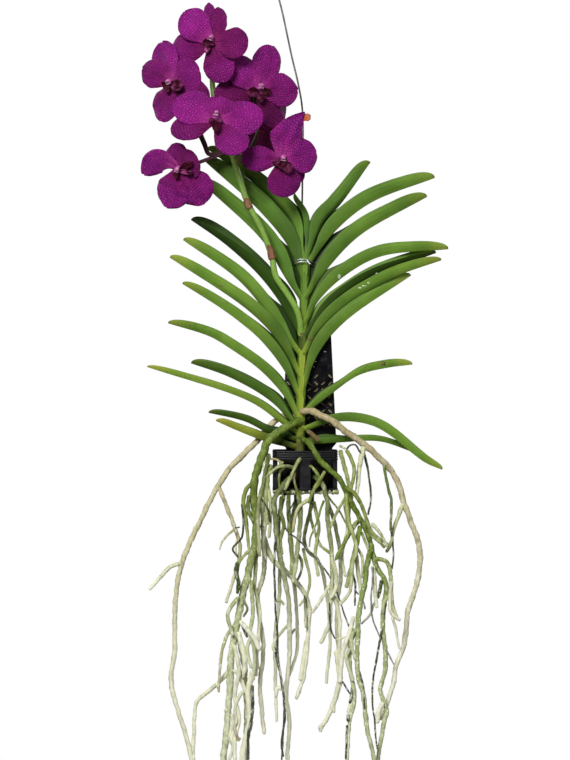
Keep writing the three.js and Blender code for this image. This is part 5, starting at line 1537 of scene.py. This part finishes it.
GREEN_RIGHT = [
    (3.5, 2.5, GREEN, OLIVE,
     "-3 -7.5 14, 0 -22 12, 4 -38 9.5, 10 -47.5 0, 18 -48 -12, 30 -48 -23, 40 -47 -32, 48 -45 -48, "
     "56 -41 -64, 64 -37 -78, 76 -32 -104, 84 -28 -134, 96 -25 -160, 94 -22 -180, 92 -20 -198, "
     "95 -18 -234, 95 -16 -266, 90 -15 -286, 98 -13 -312, 94 -12 -326, 86 -10 -386"),
    (2.7, 1.9, OLIVE, PALE, "46 -46 -43, 58 -50 -50, 66 -50 -62, 79 -44 -96, 94 -38 -108, 100 -36 -114"),
    (2.7, 1.9, OLIVE, PALE, "83 -29 -128, 97 -32 -132, 102 -33 -150, 103 -33 -180, 109 -32 -198"),
    (3.2, 2.5, GREEN, OLIVE,
     "79 -31 -112, 75 -36 -128, 71 -40 -156, 64 -41 -190, 62 -40 -228, 62 -38 -264, 70 -35 -294, "
     "73 -32 -326, 80 -30 -358, 86 -28 -398"),
    (1.4, 1.0, DARK, DARK, "93 -20 -208, 85 -26 -246, 80 -24 -282, 82 -22 -318, 86 -20 -356"),
    (2.7, 1.9, PALE, PALE, "48 -45 -50, 52 -50 -84, 60 -52 -114, 56 -52 -132, 52 -50 -166, 40 -48 -182"),
    (2.7, 1.9, OLIVE, PALE,
     "63 -40 -208, 54 -34 -228, 53 -30 -258, 59 -28 -294, 53 -26 -324, 48 -24 -402"),
]
CROWN = (-2, 0, -27)
IN_BASKET = [
    (3.4, 2.4, SHADED_OLIVE, PALE,
     "crown, -14 -24 -32, -22 -43 -36, -36 -49 -56, -36 -47 -78, -32 -42 -114, -26 -37 -144, "
     "-20 -33 -180, -19 -30 -216, -19 -28 -252, -23 -26 -288, -19 -24 -318, -25 -22 -406"),
    (3.0, 2.5, SHADED_OLIVE, "#ddd5b8",
     "crown, -24 -18 -24, -44 -22 -27, -50 -16 -48, -50 -10 -84, -48 -6 -120, -50 -4 -150, -57 -2 -178, "
     "-53 0 -210, -50 1 -246, -54 2 -276, -49 2 -342"),
    (3.2, 2.3, PALE, CREAM,
     "-49 -8 -104, -40 -10 -130, -20 -12 -148, -4 -12 -166, 5 -11 -186, 5 -10 -202, 2 -9 -234, "
     "0 -8 -264, -11 -6 -299"),
    (1.4, 1.0, DARK, DARK,
     "-34 -45 -98, -37 -50 -132, -35 -50 -180, -31 -47 -252, -25 -44 -294, -28 -40 -366"),
    (3.1, 2.3, SHADED_OLIVE, PALE,
     "crown, 12 -24 -32, 20 -43 -38, 26 -49 -60, 26 -46 -78, 30 -42 -108, 32 -40 -144, 30 -37 -180, "
     "29 -34 -206, 18 -31 -230"),
    (2.7, 1.9, PALE, CREAM,
     "31 -38 -166, 40 -33 -194, 41 -30 -246, 42 -28 -276, 35 -26 -300, 17 -24 -335"),
    (2.3, 1.7, DARK, OLIVE, "crown, 8 -8 -44, 8 -8 -66, 6 -12 -78, 11 -20 -96, 18 -30 -112, 30 -40 -122"),
    (2.6, 1.9, SHADED_OLIVE, PALE,
     "crown, -10 5 -44, -10.5 6 -62, -18 4 -96, -16 2 -132, -11 0 -180, -10 -6 -240, -19 -26 -268"),
    (2.3, 1.9, SHADED_OLIVE, PALE,
     "crown, 8 5 -44, 8 5 -62, 0 12 -116, 16 14 -134, 24 14 -160, 30 12 -220, 26 12 -282"),
    (2.7, 1.9, SHADED_OLIVE, PALE, "crown, 20 7 -38, 25 8 -56, 36 22 -90, 44 30 -150, 38 28 -200, 42 26 -262"),
    (2.7, 1.9, SHADED_OLIVE, PALE,
     "crown, -22 7 -34, -26 8 -56, -32 24 -90, -30 32 -170, -36 30 -230, -34 26 -330"),
    (2.3, 2.0, GREEN, PALE, "crown, -6 -38 -10, -9 -46 -13, -17 -47 -30, -25 -47 -47"),
    (2.3, 1.9, OLIVE, PALE, "crown, -22 -38 -18, -31 -46 -18, -44 -47 -29"),
    (1.9, 1.7, OLIVE, GREEN, "crown, 6 -38 -18, 9 -45 -20, 17.5 -47 -34, 10 -47 -47, 4 -46 -62"),
]
# the finer roots and root ends that cross the thick ones: round the basket, below it, and at the bottom
FINE_ROOTS = [
    (2.8, 2.6, BARK, "#8a6a4a", "3 -14 24, 8 -17 20, 13 -18 14, 17 -18 11"),
    (1.8, 1.6, CREAM, CREAM, "40 -30 6, 44 -31 4, 48 -31 2"),
    (1.7, 1.0, TAN, CREAM, "-85 -16 -94, -92 -20 -100, -99 -21 -110, -102 -21 -119"),
    (1.6, 1.0, PALE, CREAM, "-80 -5 -106, -83 -8 -114, -82 -10 -126"),
    (2.0, 1.4, CREAM, CREAM, "103 -33 -196, 108 -30 -214, 112 -28 -236"),
    (1.8, 1.2, OLIVE, ASH, "83 -32 -180, 76 -36 -196, 66 -38 -206"),
    (1.4, 0.9, DARK, DARK, "64 -44 -82, 52 -46 -100, 42 -44 -116, 36 -42 -130"),
    (1.5, 1.0, GREEN, OLIVE, "22 -47 -58, 14 -44 -84, 6 -40 -104, 5 -38 -114"),
    (2.6, 3.4, CREAM, CREAM, "-78 -30 -202, -69 -32 -212, -60 -32 -224, -54 -32 -238"),
    (1.5, 1.1, TAN, TAN, "-42 -44 -9, -34 -45 -10, -27 -44 -14"),
    (1.2, 0.9, DARK, DARK, "44 -30 -274, 50 -28 -284, 55 -26 -292"),
    (2.7, 2.3, SHADED_OLIVE, PALE, "-43 -43 -3, -50 -47 -40, -56 -42 -74, -54 -38 -125"),
    (0.9, 0.7, CREAM, CREAM, "-44 -42 -10, -49 -44 -13, -50 -46 -21, -48 -46 -28, -51 -45 -32"),
    (1.7, 1.5, OLIVE, PALE, "-26 -42 -12, -31 -46 -17, -38 -47 -23, -46 -46 -31, -50 -44 -42"),
    (1.5, 1.4, MOSS, OLIVE, "-24 -44 -19, -29 -46 -24, -31 -47 -34, -30 -47 -45, -24 -45 -58"),
    (1.5, 1.3, BARK, GREEN, "-12 -44 -24, -13 -45 -36, -6 -44 -58"),
    (3.0, 2.5, SHADED_OLIVE, PALE, "-10 -40 -46, -7 -42 -60, -6 -42 -80, -14 -36 -157"),
    (2.6, 2.3, SHADED_OLIVE, OLIVE, "-20 -42 -48, -19 -42 -90, -16 -40 -112, -16 -36 -147"),
    (2.5, 2.1, SHADED_OLIVE, OLIVE, "-28 -42 -54, -29 -43 -70, -26 -43 -88, -29 -41 -106, -27 -40 -123"),
    (1.0, 0.8, DARK, DARK, "-13 -45 -60, -22 -46 -76, -20 -45 -84"),
    (1.1, 0.9, DARK, DARK, "-26 -44 -84, -22 -44 -94, 0 -42 -113, 29 -39 -149, 52 -34 -209"),
    (1.4, 1.1, DARK, DARK, "-52 -45 -56, -44 -46 -70, -42 -45 -84"),
    (1.4, 1.1, DARK, DARK, "-75 -31 -63, -74 -32 -90, -76 -31 -104, -86 -30 -117, -79 -29 -128"),
    (1.0, 0.9, DARK, DARK, "-84 -24 -92, -78 -28 -91"),
    (1.1, 0.9, DARK, DARK, "-55 -40 -90, -49 -42 -90"),
    (2.5, 2.1, SHADED_OLIVE, OLIVE, "-66 -28 -53, -68 -29 -65, -66 -29 -77, -62 -27 -85"),
    (2.3, 1.8, CREAM, HUSK, "6 -44 -56, -7 -47 -66, -12 -46 -76, -15 -44 -97"),
    (2.3, 1.6, OLIVE, OLIVE, "24 -47 -24, 13 -48 -40, 5 -45 -62"),
    (0.9, 0.7, DARK, DARK, "10 -40 -66, 14 -41 -68"),
    (2.6, 2.3, OLIVE, PALE, "41 -30 1, 44 -34 -11, 52 -37 -39, 54 -38 -56, 51 -38 -74, 53 -37 -90"),
    (2.4, 1.9, OLIVE, OLIVE, "49 -26 1, 58 -32 -21, 54 -36 -47"),
    (1.1, 1.0, DARK, DARK, "49 -26 1, 53 -27 6, 59 -27 7, 65 -24 -2"),
    (1.3, 1.0, DARK, OLIVE, "25 -42 -50, 41 -43 -73, 52 -41 -92"),
    (1.9, 1.6, OLIVE, PALE, "49 -44 -52, 37 -45 -73, 29 -43 -92"),
    (2.7, 2.1, OLIVE, GREEN, "65 -42 -82, 57 -44 -89, 50 -45 -101, 36 -42 -129"),
    (1.4, 1.0, DARK, DARK, "55 -44 -94, 59 -45 -102"),
    (3.0, 2.5, GREEN, OLIVE, "65 -40 -88, 59 -43 -117, 49 -39 -163"),
    (1.9, 1.6, PALE, PALE, "61 -40 -115, 67 -41 -126, 68 -40 -151"),
    (1.9, 1.6, OLIVE, PALE, "66 -38 -96, 75 -37 -118"),
    (2.2, 1.8, OLIVE, OLIVE, "75 -40 -92, 79 -41 -100, 87 -41 -106, 94 -40 -115"),
    (2.4, 1.9, CREAM, CREAM, "79 -42 -86, 87 -41 -95, 97 -38 -114"),
    (1.3, 1.0, DARK, DARK, "102 -30 -94, 105 -31 -128, 103 -31 -142"),
    (3.2, 2.1, MOSS, MOSS, "-80 -26 -132, -82 -27 -146, -79 -27 -158, -81 -26 -170"),
    (1.9, 1.7, OLIVE, OLIVE, "-66 -24 -118, -78 -27 -132, -81 -27 -144"),
    (2.6, 2.0, GREEN, OLIVE, "-79 -24 -174, -87 -28 -183, -92 -29 -194, -86 -26 -221"),
    (1.7, 1.5, OLIVE, DARK, "-66 -24 -150, -73 -28 -176, -69 -28 -188, -74 -26 -198"),
    (2.5, 2.1, OLIVE, GREEN, "-64 -22 -154, -63 -25 -198, -66 -25 -218, -61 -24 -236, -62 -20 -274"),
    (2.1, 1.7, DARK, DARK, "-77 -24 -204, -69 -25 -223"),
    (3.5, 2.9, CREAM, PALE, "-80 -22 -216, -73 -24 -244, -72 -22 -258, -76 -20 -272"),
    (2.7, 2.1, GREEN, PALE, "-63 -24 -220, -69 -25 -235, -64 -23 -260"),
    (1.9, 1.5, OLIVE, PALE, "-36 -22 -179, -30 -24 -179, -25 -24 -185"),
    (2.1, 1.7, OLIVE, PALE, "-21 -26 -208, -34 -27 -223, -38 -27 -233, -36 -26 -241"),
    (1.8, 1.5, OLIVE, DARK, "-10 -26 -122, -4 -28 -132, -5 -28 -146, -9 -27 -155"),
    (1.9, 1.6, OLIVE, OLIVE, "-3 -24 -116, 6 -27 -154, 1 -24 -176"),
    (1.8, 1.5, DARK, OLIVE, "0 -16 -173, 1 -17 -212"),
    (1.7, 1.4, OLIVE, OLIVE, "-7 -14 -186, 1 -16 -175"),
    (1.9, 1.5, OLIVE, OLIVE, "-19 -12 -223, -11 -13 -213"),
    (2.8, 2.4, PALE, CREAM, "31 -42 -125, 36 -43 -145, 36 -43 -163, 30 -42 -175"),
    (2.4, 1.9, CREAM, CREAM, "29 -40 -159, 13 -38 -185, 8 -34 -193"),
    (1.4, 1.1, DARK, DARK, "29 -38 -179, 31 -37 -213, 36 -35 -224"),
    (1.4, 1.1, DARK, DARK, "57 -44 -129, 56 -45 -143, 59 -45 -155, 59 -44 -184"),
    (1.0, 0.8, DARK, DARK, "59 -45 -165, 64 -44 -170"),
    (2.7, 2.3, PALE, PALE, "60 -38 -122, 67 -38 -171"),
    (2.7, 2.3, CREAM, CREAM, "81 -34 -136, 85 -34 -187"),
    (1.0, 0.9, ASH, ASH, "81 -38 -137, 79 -39 -195, 89 -36 -223"),
    (1.1, 1.0, ASH, ASH, "68 -42 -175, 71 -42 -188"),
    (2.4, 1.8, MOSS, MOSS, "91 -27 -154, 86 -28 -176"),
    (2.4, 1.9, OLIVE, OLIVE, "98 -30 -172, 93 -31 -182, 92 -30 -194"),
    (2.5, 2.1, CREAM, CREAM, "103 -34 -155, 100 -35 -175, 102 -35 -192, 113 -34 -201"),
    (1.1, 0.9, ASH, ASH, "96 -22 -237, 106 -22 -255"),
    (2.6, 2.9, CREAM, CREAM, "58 -38 -196, 52 -38 -216, 45 -36 -240, 41 -32 -276"),
    (2.6, 2.1, GREEN, OLIVE, "59 -40 -210, 55 -41 -222, 56 -41 -236, 60 -40 -248"),
    (2.4, 2.1, OLIVE, OLIVE, "53 -36 -234, 49 -36 -246, 57 -33 -274"),
    (1.5, 1.2, PALE, PALE, "38 -32 -225, 52 -34 -220"),
    (2.6, 2.1, PALE, PALE, "-86 -18 -262, -80 -19 -268, -64 -16 -304"),
    (2.1, 1.9, PALE, PALE, "-104 -14 -278, -104 -14 -285"),
    (3.2, 4.6, PALE, CREAM,
     "-63 -20 -262, -68 -20 -290, -66 -19 -325, -73 -17 -356, -75 -16 -384, -76 -16 -404"),
    (2.0, 1.7, DARK, DARK, "-63 -24 -279, -63 -25 -315, -67 -24 -337, -68 -22 -369"),
    (2.2, 1.9, OLIVE, BARK,
     "-74 -22 -287, -80 -24 -297, -84 -24 -309, -82 -24 -321, -84 -24 -331, -80 -22 -343"),
    (4.0, 2.9, BARK, OLIVE, "-79 -22 -342, -79 -22 -347"),
    (2.2, 1.8, PALE, PALE, "-84 -20 -333, -88 -21 -343, -86 -21 -351, -90 -19 -369"),
    (2.2, 1.8, PALE, PALE, "-88 -18 -314, -86 -19 -328, -90 -19 -341, -87 -18 -352"),
    (2.1, 1.9, PALE, PALE, "-58 -14 -251, -58 -14 -270"),
    (2.6, 2.3, CREAM, CREAM, "-26 -18 -285, -33 -20 -284, -35 -19 -295"),
    (1.7, 1.2, DARK, DARK, "-36 -20 -234, -28 -24 -277, -24 -24 -315, -28 -22 -347, -26 -20 -365"),
    (4.2, 3.5, GREEN, PALE, "-94 -16 -308, -94 -16 -313"),
    (2.4, 3.3, PALE, CREAM, "2 -9 -226, -1 -9 -242, -3 -9 -262, -6 -8 -276"),
    (3.1, 2.6, PALE, PALE, "37 -26 -237, 41 -28 -272, 37 -28 -289, 28 -26 -315, 16 -24 -332"),
    (2.0, 1.7, PALE, PALE, "34 -27 -299, 35 -28 -312"),
    (2.3, 1.9, PALE, PALE, "52 -24 -255, 59 -26 -287, 57 -25 -297"),
    (2.1, 1.8, DARK, DARK, "57 -28 -281, 53 -28 -301"),
    (2.1, 1.8, PALE, PALE, "56 -26 -297, 52 -28 -311, 57 -27 -315"),
    (2.4, 2.0, DARK, DARK, "52 -28 -312, 51 -29 -322"),
    (1.5, 1.2, DARK, DARK, "50 -28 -326, 48 -26 -368"),
    (1.4, 1.1, DARK, DARK, "62 -36 -258, 68 -38 -276, 71 -36 -306"),
    (2.6, 2.2, PALE, CREAM,
     "-84 -24 -232, -79 -26 -262, -84 -24 -292, -79 -22 -318, -84 -20 -352, -80 -18 -404"),
    (2.4, 2.0, OLIVE, PALE, "-58 -8 -120, -60 -10 -160, -54 -12 -200, -58 -12 -240, -56 -10 -262"),
    (2.5, 2.2, CREAM, CREAM, "-50 -22 -56, -48 -26 -84, -50 -26 -112, -46 -24 -130"),
    (2.2, 1.9, OLIVE, PALE, "10 -30 -60, 16 -32 -92, 12 -30 -122, 16 -28 -150"),
    (2.0, 1.8, CREAM, CREAM, "46 -30 -60, 50 -32 -92, 44 -32 -124, 48 -30 -150"),
    (2.9, 3.2, CREAM, CREAM, "93 -18 -300, 87 -19 -314, 85 -18 -326"),
    (2.7, 2.3, OLIVE, PALE, "-40 -40 -16, -44 -44 -30, -46 -44 -54, -45 -40 -88"),
    (2.2, 2.0, PALE, CREAM, "-47 -42 -34, -42 -44 -52, -41 -42 -74, -43 -38 -104"),
]


def route_of(text):
    """The points of a route written "x y z, x y z"; the word crown stands for the crown's middle."""
    return [
        CROWN if point.strip() == "crown" else [float(number) for number in point.split()]
        for point in text.split(",")
    ]


def root_finish(name, wet, damp, mossy=0.0):
    """Velamen: each root's own tint, cloudy, with green showing through, white flecks and fine wrinkles."""
    material, shader, where = finish(name, {"Specular IOR Level": 0.35})
    tree = where.id_data
    tint = told(where, "tint", "Color")
    cloud = grain(where, 70, 4, 0.65)
    skin = mixed(level(cloud, 0.5, 0.75, 0.0, 0.6), tint, "#6f8a3a" if wet else "#8a9060")
    skin = mixed(level(cloud, 0.46, 0.25, 0.0, 0.15 if wet else 0.5), skin, "#e2e2d0")
    blotch = grain(stretched(where, (1, 1, 0.6)), 170, 3, 0.6)
    skin = mixed(level(blotch, 0.52, 0.62, 0.0, 0.45 if wet else mossy), skin, "#52641f")
    bare = level(blotch, 0.45, 0.33, 0.0, 0.7 - 0.25 * wet)
    bare = times(bare, height_level(where, 40, -110, 0.3, 1.0))
    skin = mixed(bare, skin, "#e8e8d2")
    long_marks = grain(stretched(where, (420, 420, 60)), 1, 3)
    skin = mixed(level(long_marks, 0.52, 0.72, 0.0, 0.5), skin, "#565a34")
    flecks = put(tree, "ShaderNodeTexVoronoi", {
        "Vector": stretched(where, (1, 1, 0.7)), "Scale": 420.0 - 110 * wet,
    })
    fleck_draw = result(tree, "ShaderNodeSeparateColor", {0: flecks.outputs["Color"]})
    fleck = reckon("GREATER_THAN", fleck_draw, 0.8 - 0.5 * wet)
    fleck = times(fleck, level(flecks.outputs["Distance"], 0.46, 0.2))
    fleck = times(fleck, height_level(where, -60, -180, 0.35, 0.4 + 0.4 * wet))
    skin = mixed(fleck, skin, "#eef2d2")
    lower = height_level(where, -130, -290)
    damp = height_level(where, -210, -60, 0.0, damp)
    skin = mixed(damp, skin, mixed(1.0, skin, "#a9b65c", "MULTIPLY"))
    lightness = result(tree, "ShaderNodeRGBToBW", {0: tint})
    paling = times(lower, level(lightness, 0.06, 0.25, 0.0, 0.25 if wet else 0.6))
    worn = level(cloud, 0.2, 0.8, 0.75 - 0.25 * wet, 0.9 - 0.2 * wet)
    coat(shader, mixed(paling, skin, "#efeed6"), worn, reckon("ADD", long_marks, cloud), 0.0009)
    return material


tan_root, wet_root = root_finish("tan_root_skin", 0.0, 0.15), root_finish("wet_root_skin", 1.0, 0.9)
dry_root = root_finish("dry_root_skin", 0.0, 0.5, 0.3)
CROWN_HALVES = (12.0, 12.0, 9.0)
for root_name, node, slot_name, roots, root_skin in (
    ("tan_root_left", "root_tan_left", "tan_root", TAN_LEFT, tan_root),
    ("green_root_left", "root_green_left", "green_root", GREEN_LEFT, wet_root),
    ("tan_root_right", "root_tan_right", "tan_root", TAN_RIGHT, tan_root),
    ("green_root_right", "root_green_right", "green_root", GREEN_RIGHT, wet_root),
    ("basket_roots", "roots_in_basket", "pale_root", IN_BASKET, dry_root),
    ("fine_roots", None, "pale_root", FINE_ROOTS, dry_root),
):
    strands = [
        strand(route_of(route), start, end, 2.6, (first, last), round_start=not node)
        for start, end, first, last, route in roots
    ]
    hanging = grown(root_name, strand_mesh(root_name + "_paths", strands), SKIN, {
        "Sides": 10, "Wander": 3.4 * MM, "Wander scale": 38.0, "Lump height": 1.05, "Lump scale": 150.0,
        "Seed": 2.0, "Material": root_skin,
    })
    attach(hanging, "root")
    if node:
        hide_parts(node)

STRAIGHT_AXES = [Vector((1, 0, 0)), Vector((0, 1, 0)), Vector((0, 0, 1))]
crown_lump = rounded_lump(at(*CROWN), STRAIGHT_AXES, CROWN_HALVES, Vector((3, 1, 4)), 0.5, 16, 24)
crown = added("crown_clump", solid_mesh(*crown_lump), stem_skin)
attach(crown, "root")

# ---------------- dark mass in the basket
# A lumpy, near-black mass fills the middle of the basket and keeps its inside dark. Brown coconut fibre is
# packed flat behind the pierced panel and shows through its slots.
DARK_MASSES = [((-3, 1, -31), (31, 28, 20)), ((-21, 2, -25), (14, 25, 14)), ((-21, 2, -43), (14, 25, 12))]
FIBRE_X, FIBRE_Z, FIBRE_THICK = (-23, 33.2), (20, 100), 1.1
FIBRE_ROWS, FIBRE_COLUMNS, FIBRE_GAP = 32, 20, 0.35
FIBRE_RAGGED, FIBRE_DENT = 1.5, 0.25
mat_skin, mat_shader, mat_where = finish("dark_mass_skin", {"Roughness": 0.95, "Specular IOR Level": 0.1})
mat_grain = grain(mat_where, 240, 5, 0.65)
mat_colour = ramp(mat_grain, (0.35, "#0b0906"), (0.6, "#1f1a11"), (0.8, "#4a3b26"))
coat(mat_shader, mat_colour, relief=mat_grain, depth=0.002)
mat_lumps = [
    rounded_lump(at(*place), STRAIGHT_AXES, halves, Vector((8, 2, 5 + k)), 0.22, rings=26, sides=40)
    for k, (place, halves) in enumerate(DARK_MASSES)
]
mat = added("dark_basket_mass", solid_mesh(*joined(mat_lumps)), mat_skin)
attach(mat, "root")


def scatter_tree():
    """Sets a small lump on every point, each turned and sized at random."""
    tree, given = new_tree("scattered_crumbs", "Places", {
        "Smallest": "Float", "Largest": "Float", "Seed": "Int", "Material": "Material",
    }, "Crumbs")
    lump = result(tree, "GeometryNodeMeshIcoSphere", {"Radius": 1.0, "Subdivisions": 2})
    place = result(tree, "GeometryNodeInputPosition")
    dents = put(tree, "ShaderNodeTexNoise", {"Vector": place, "Scale": 1.3, "Detail": 1.0}).outputs["Color"]
    dents = result(tree, "ShaderNodeVectorMath", {0: dents, 1: (0.5, 0.5, 0.5)}, operation="SUBTRACT")
    lump = result(tree, "GeometryNodeSetPosition", {"Geometry": lump, "Offset": dents})
    # the node takes the range of a vector as 0 and 1, and that of a number as 2 and 3
    full_turn = (6.28, 6.28, 6.28)
    turns = result(tree, "FunctionNodeRandomValue", {1: full_turn, "Seed": given["Seed"]},
                   data_type="FLOAT_VECTOR")
    sizes = put(tree, "FunctionNodeRandomValue", {
        2: given["Smallest"], 3: given["Largest"], "Seed": given["Seed"],
    }, data_type="FLOAT").outputs[1]
    crumbs = result(tree, "GeometryNodeInstanceOnPoints", {
        "Points": given["Places"], "Instance": lump, "Rotation": turns, "Scale": sizes,
    })
    return end_tree(tree, "Crumbs", crumbs, given["Material"])


crumb_skin, crumb_shader, crumb_where = finish("bark_crumbs", {"Roughness": 0.8, "Specular IOR Level": 0.2})
coat(crumb_shader, ramp(
    grain(crumb_where, 330, 2), (0.3, "#3d4426"), (0.45, "#7d8457"), (0.6, "#b9b894"), (0.75, "#d9d9c6"),
))
CRUMBS, CRUMB_DRAW = 150, 11
CRUMB_LEFT, CRUMB_SPREAD, CRUMB_RIGHT = -40, 88, 38  # they lie thicker to the right
CRUMB_Y, CRUMB_Z = (-38.6, -36.8), (-0.4, 2.4)
draw = random.Random(CRUMB_DRAW)
crumb_places = []
for k in range(CRUMBS):
    x = min(CRUMB_LEFT + CRUMB_SPREAD * draw.random() ** 0.8, CRUMB_RIGHT)
    crumb_places.append(at(x, draw.uniform(*CRUMB_Y), draw.uniform(*CRUMB_Z) - BASKET_DEEP))
crumb_points = bpy.data.meshes.new("crumb_places")
crumb_points.from_pydata(crumb_places, [], [])
crumbs = grown("bark_crumbs", crumb_points, scatter_tree(), {
    "Smallest": 0.7 * MM, "Largest": 2.2 * MM, "Seed": 5, "Material": crumb_skin,
})
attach(crumbs, "root")

fibre_skin, fibre_shader, fibre_where = finish(
    "coconut_fibre", {"Roughness": 0.9, "Specular IOR Level": 0.1},
)
hairs = mixed(0.5, *(
    grain(stretched(fibre_where, (300, 900, 2600), (0, lean, 0)), 1, 3) for lean in (0.7, -0.7)
))
fibre_colour = ramp(hairs, (0.35, "#4a402c"), (0.5, "#84785a"), (0.66, "#b8ac86"))
coat(fibre_shader, fibre_colour, relief=hairs, depth=0.0006)
fibre_front, fibre_back = [], []
for k in range(FIBRE_ROWS + 1):
    up = FIBRE_Z[0] + (FIBRE_Z[1] - FIBRE_Z[0]) * k / FIBRE_ROWS
    fibre_front.append([])
    fibre_back.append([])
    for j in range(FIBRE_COLUMNS + 1):
        ragged = FIBRE_RAGGED * noise.noise(Vector((j * 0.9, k * 0.9, 3)))
        x = FIBRE_X[0] + (FIBRE_X[1] - FIBRE_X[0]) * j / FIBRE_COLUMNS
        x += ragged if j in (0, FIBRE_COLUMNS) else 0
        z = up + (ragged if k in (0, FIBRE_ROWS) else 0)
        dent = FIBRE_DENT * noise.noise(Vector((x * 0.12, z * 0.12, 1)))
        behind = PANEL_Y + PANEL_THICK + FIBRE_GAP + dent
        fibre_front[-1].append(at(x, behind, z))
        fibre_back[-1].append(at(x, behind + FIBRE_THICK, z))
fibre = added("fibre_packing", solid_mesh(*blade(fibre_front, fibre_back)), fibre_skin)
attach(fibre, "root")

# ---------------- drops and scars
# A few drops of water lie in the leaves after watering, coloured near-white as a painted glint, and some
# leaves and the stem carry old scars: corky flat scabs. Each is set on whatever surface the viewer sees at
# its place.
# x, z, half the width and half the height
DROPS = [
    (86, 212, 1.9, 1.2), (66, 194.5, 2.2, 0.9), (71, 197, 2.6, 0.9), (76, 200.5, 1.6, 0.8),
    (41, 208, 1.5, 3.2), (24, 118, 1.9, 0.6), (12.6, 106, 1.4, 0.5), (11, 100, 0.8, 0.4),
]
SCARS = [
    (94, 104, 3.4, 2.6), (-138, 150, 1.5, 0.9), (-132, 151, 1.2, 0.8), (-94, 176, 1.2, 0.9),
    (-101, 197, 2.4, 1.2), (-122, 105.5, 1.4, 0.9), (5, 133, 2.4, 1.8), (-5, 139, 1.0, 1.4),
    (-3, 139, 0.8, 1.3),
]


def laid_on(marks, thick):
    """Flat lumps on the surfaces seen at x, z from the front."""
    depsgraph = bpy.context.evaluated_depsgraph_get()
    parts = []
    for k, (x, z, wide, tall) in enumerate(marks):
        way = (at(x, 0, z) - camera.location).normalized()
        _, place, out, _, _, _ = scene.ray_cast(depsgraph, camera.location, way)
        side = Vector((0, 0, 1)).cross(out).normalized()
        axes = (side, out.cross(side), out)
        parts.append(rounded_lump(place, axes, (wide, tall, thick), Vector((k, 7, 1)), 0.5))
    return joined(parts)


drop_skin, drop_shader, drop_where = finish("water", {"Roughness": 0.08, "Specular IOR Level": 0.5})
# painted glint: the drops are coloured near-white where clear water would show a reflection
coat(drop_shader, ramp(grain(drop_where, 500, 1), (0.35, "#8fae74"), (0.6, "#f4f8f0")))
scar_skin, scar_shader, scar_where = finish("corky_scar", {"Roughness": 0.9})
coat(scar_shader, ramp(grain(scar_where, 700, 3), (0.35, "#33261a"), (0.6, "#8f7446")))
for mark_name, marks, thick, mark_skin in (
    ("water_drops", DROPS, 0.6, drop_skin), ("corky_scars", SCARS, 0.25, scar_skin),
):
    laid = added(mark_name, solid_mesh(*laid_on(marks, thick)), mark_skin)
    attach(laid, "root")

# ---------------- tie wire
# Two turns of thin bright wire bind the leafy stem to the hanger, closed by a short twist in front.
TIE_R = 0.6
TIE_RISE = 3  # how much higher the second turn lies
TWIST_TURNS = 3
tie_steel = wire_finish("bright_wire", "#d2d4d6", "#f4f5f6", "#a9acae", 0.4)
tie_loops = []
for rise in (0, TIE_RISE):
    right, left = 8.3 + 0.6 * rise, -13.5 - 0.3 * rise
    loop = smooth_path([at(*point) for point in (
        (right, -3, 222 + rise), (right, 3, 221.5 + rise), (4, 9.5, 221 + rise), (-4, 12.2, 221 + rise),
        (-11, 8, 222 + rise), (left, 0, 223 + rise), (-12, -7, 224 + rise), (-5, -10.5, 225.5 + rise),
        (3, -9.5, 225 + rise),
    )], 1.5 * MM, closed=True)
    tie_loops.append([(point, TIE_R * MM, Vector((1, 1, 1, 1))) for point in loop[:-1]])
twist_line = smooth_path([at(2, -9, 228), at(3.6, -10.5, 225.5), at(6, -11.6, 222.5)], 0.4 * MM)
twist_ends = []
for phase in (0, math.pi):
    twisted = []
    for k, point in enumerate(twist_line):
        turn = 2 * math.pi * TWIST_TURNS * k / (len(twist_line) - 1) + phase
        aside = Vector((math.cos(turn), 0.6 * math.sin(turn), 0.3 * math.cos(turn))) * TIE_R * MM
        twisted.append((point + aside, TIE_R * MM, Vector((1, 1, 1, 1))))
    twist_ends.append(twisted)
loops = grown("tie_loops", strand_mesh("tie_loop_paths", tie_loops, closed=True), SKIN,
              {**SMOOTH_SKIN, "Sides": 8, "Material": tie_steel})
ends = grown("tie_twist", strand_mesh("tie_twist_paths", twist_ends), SKIN,
             {**SMOOTH_SKIN, "Sides": 8, "Material": tie_steel})
for tie in (loops, ends):
    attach(tie, "root")
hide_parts("tie_wire")
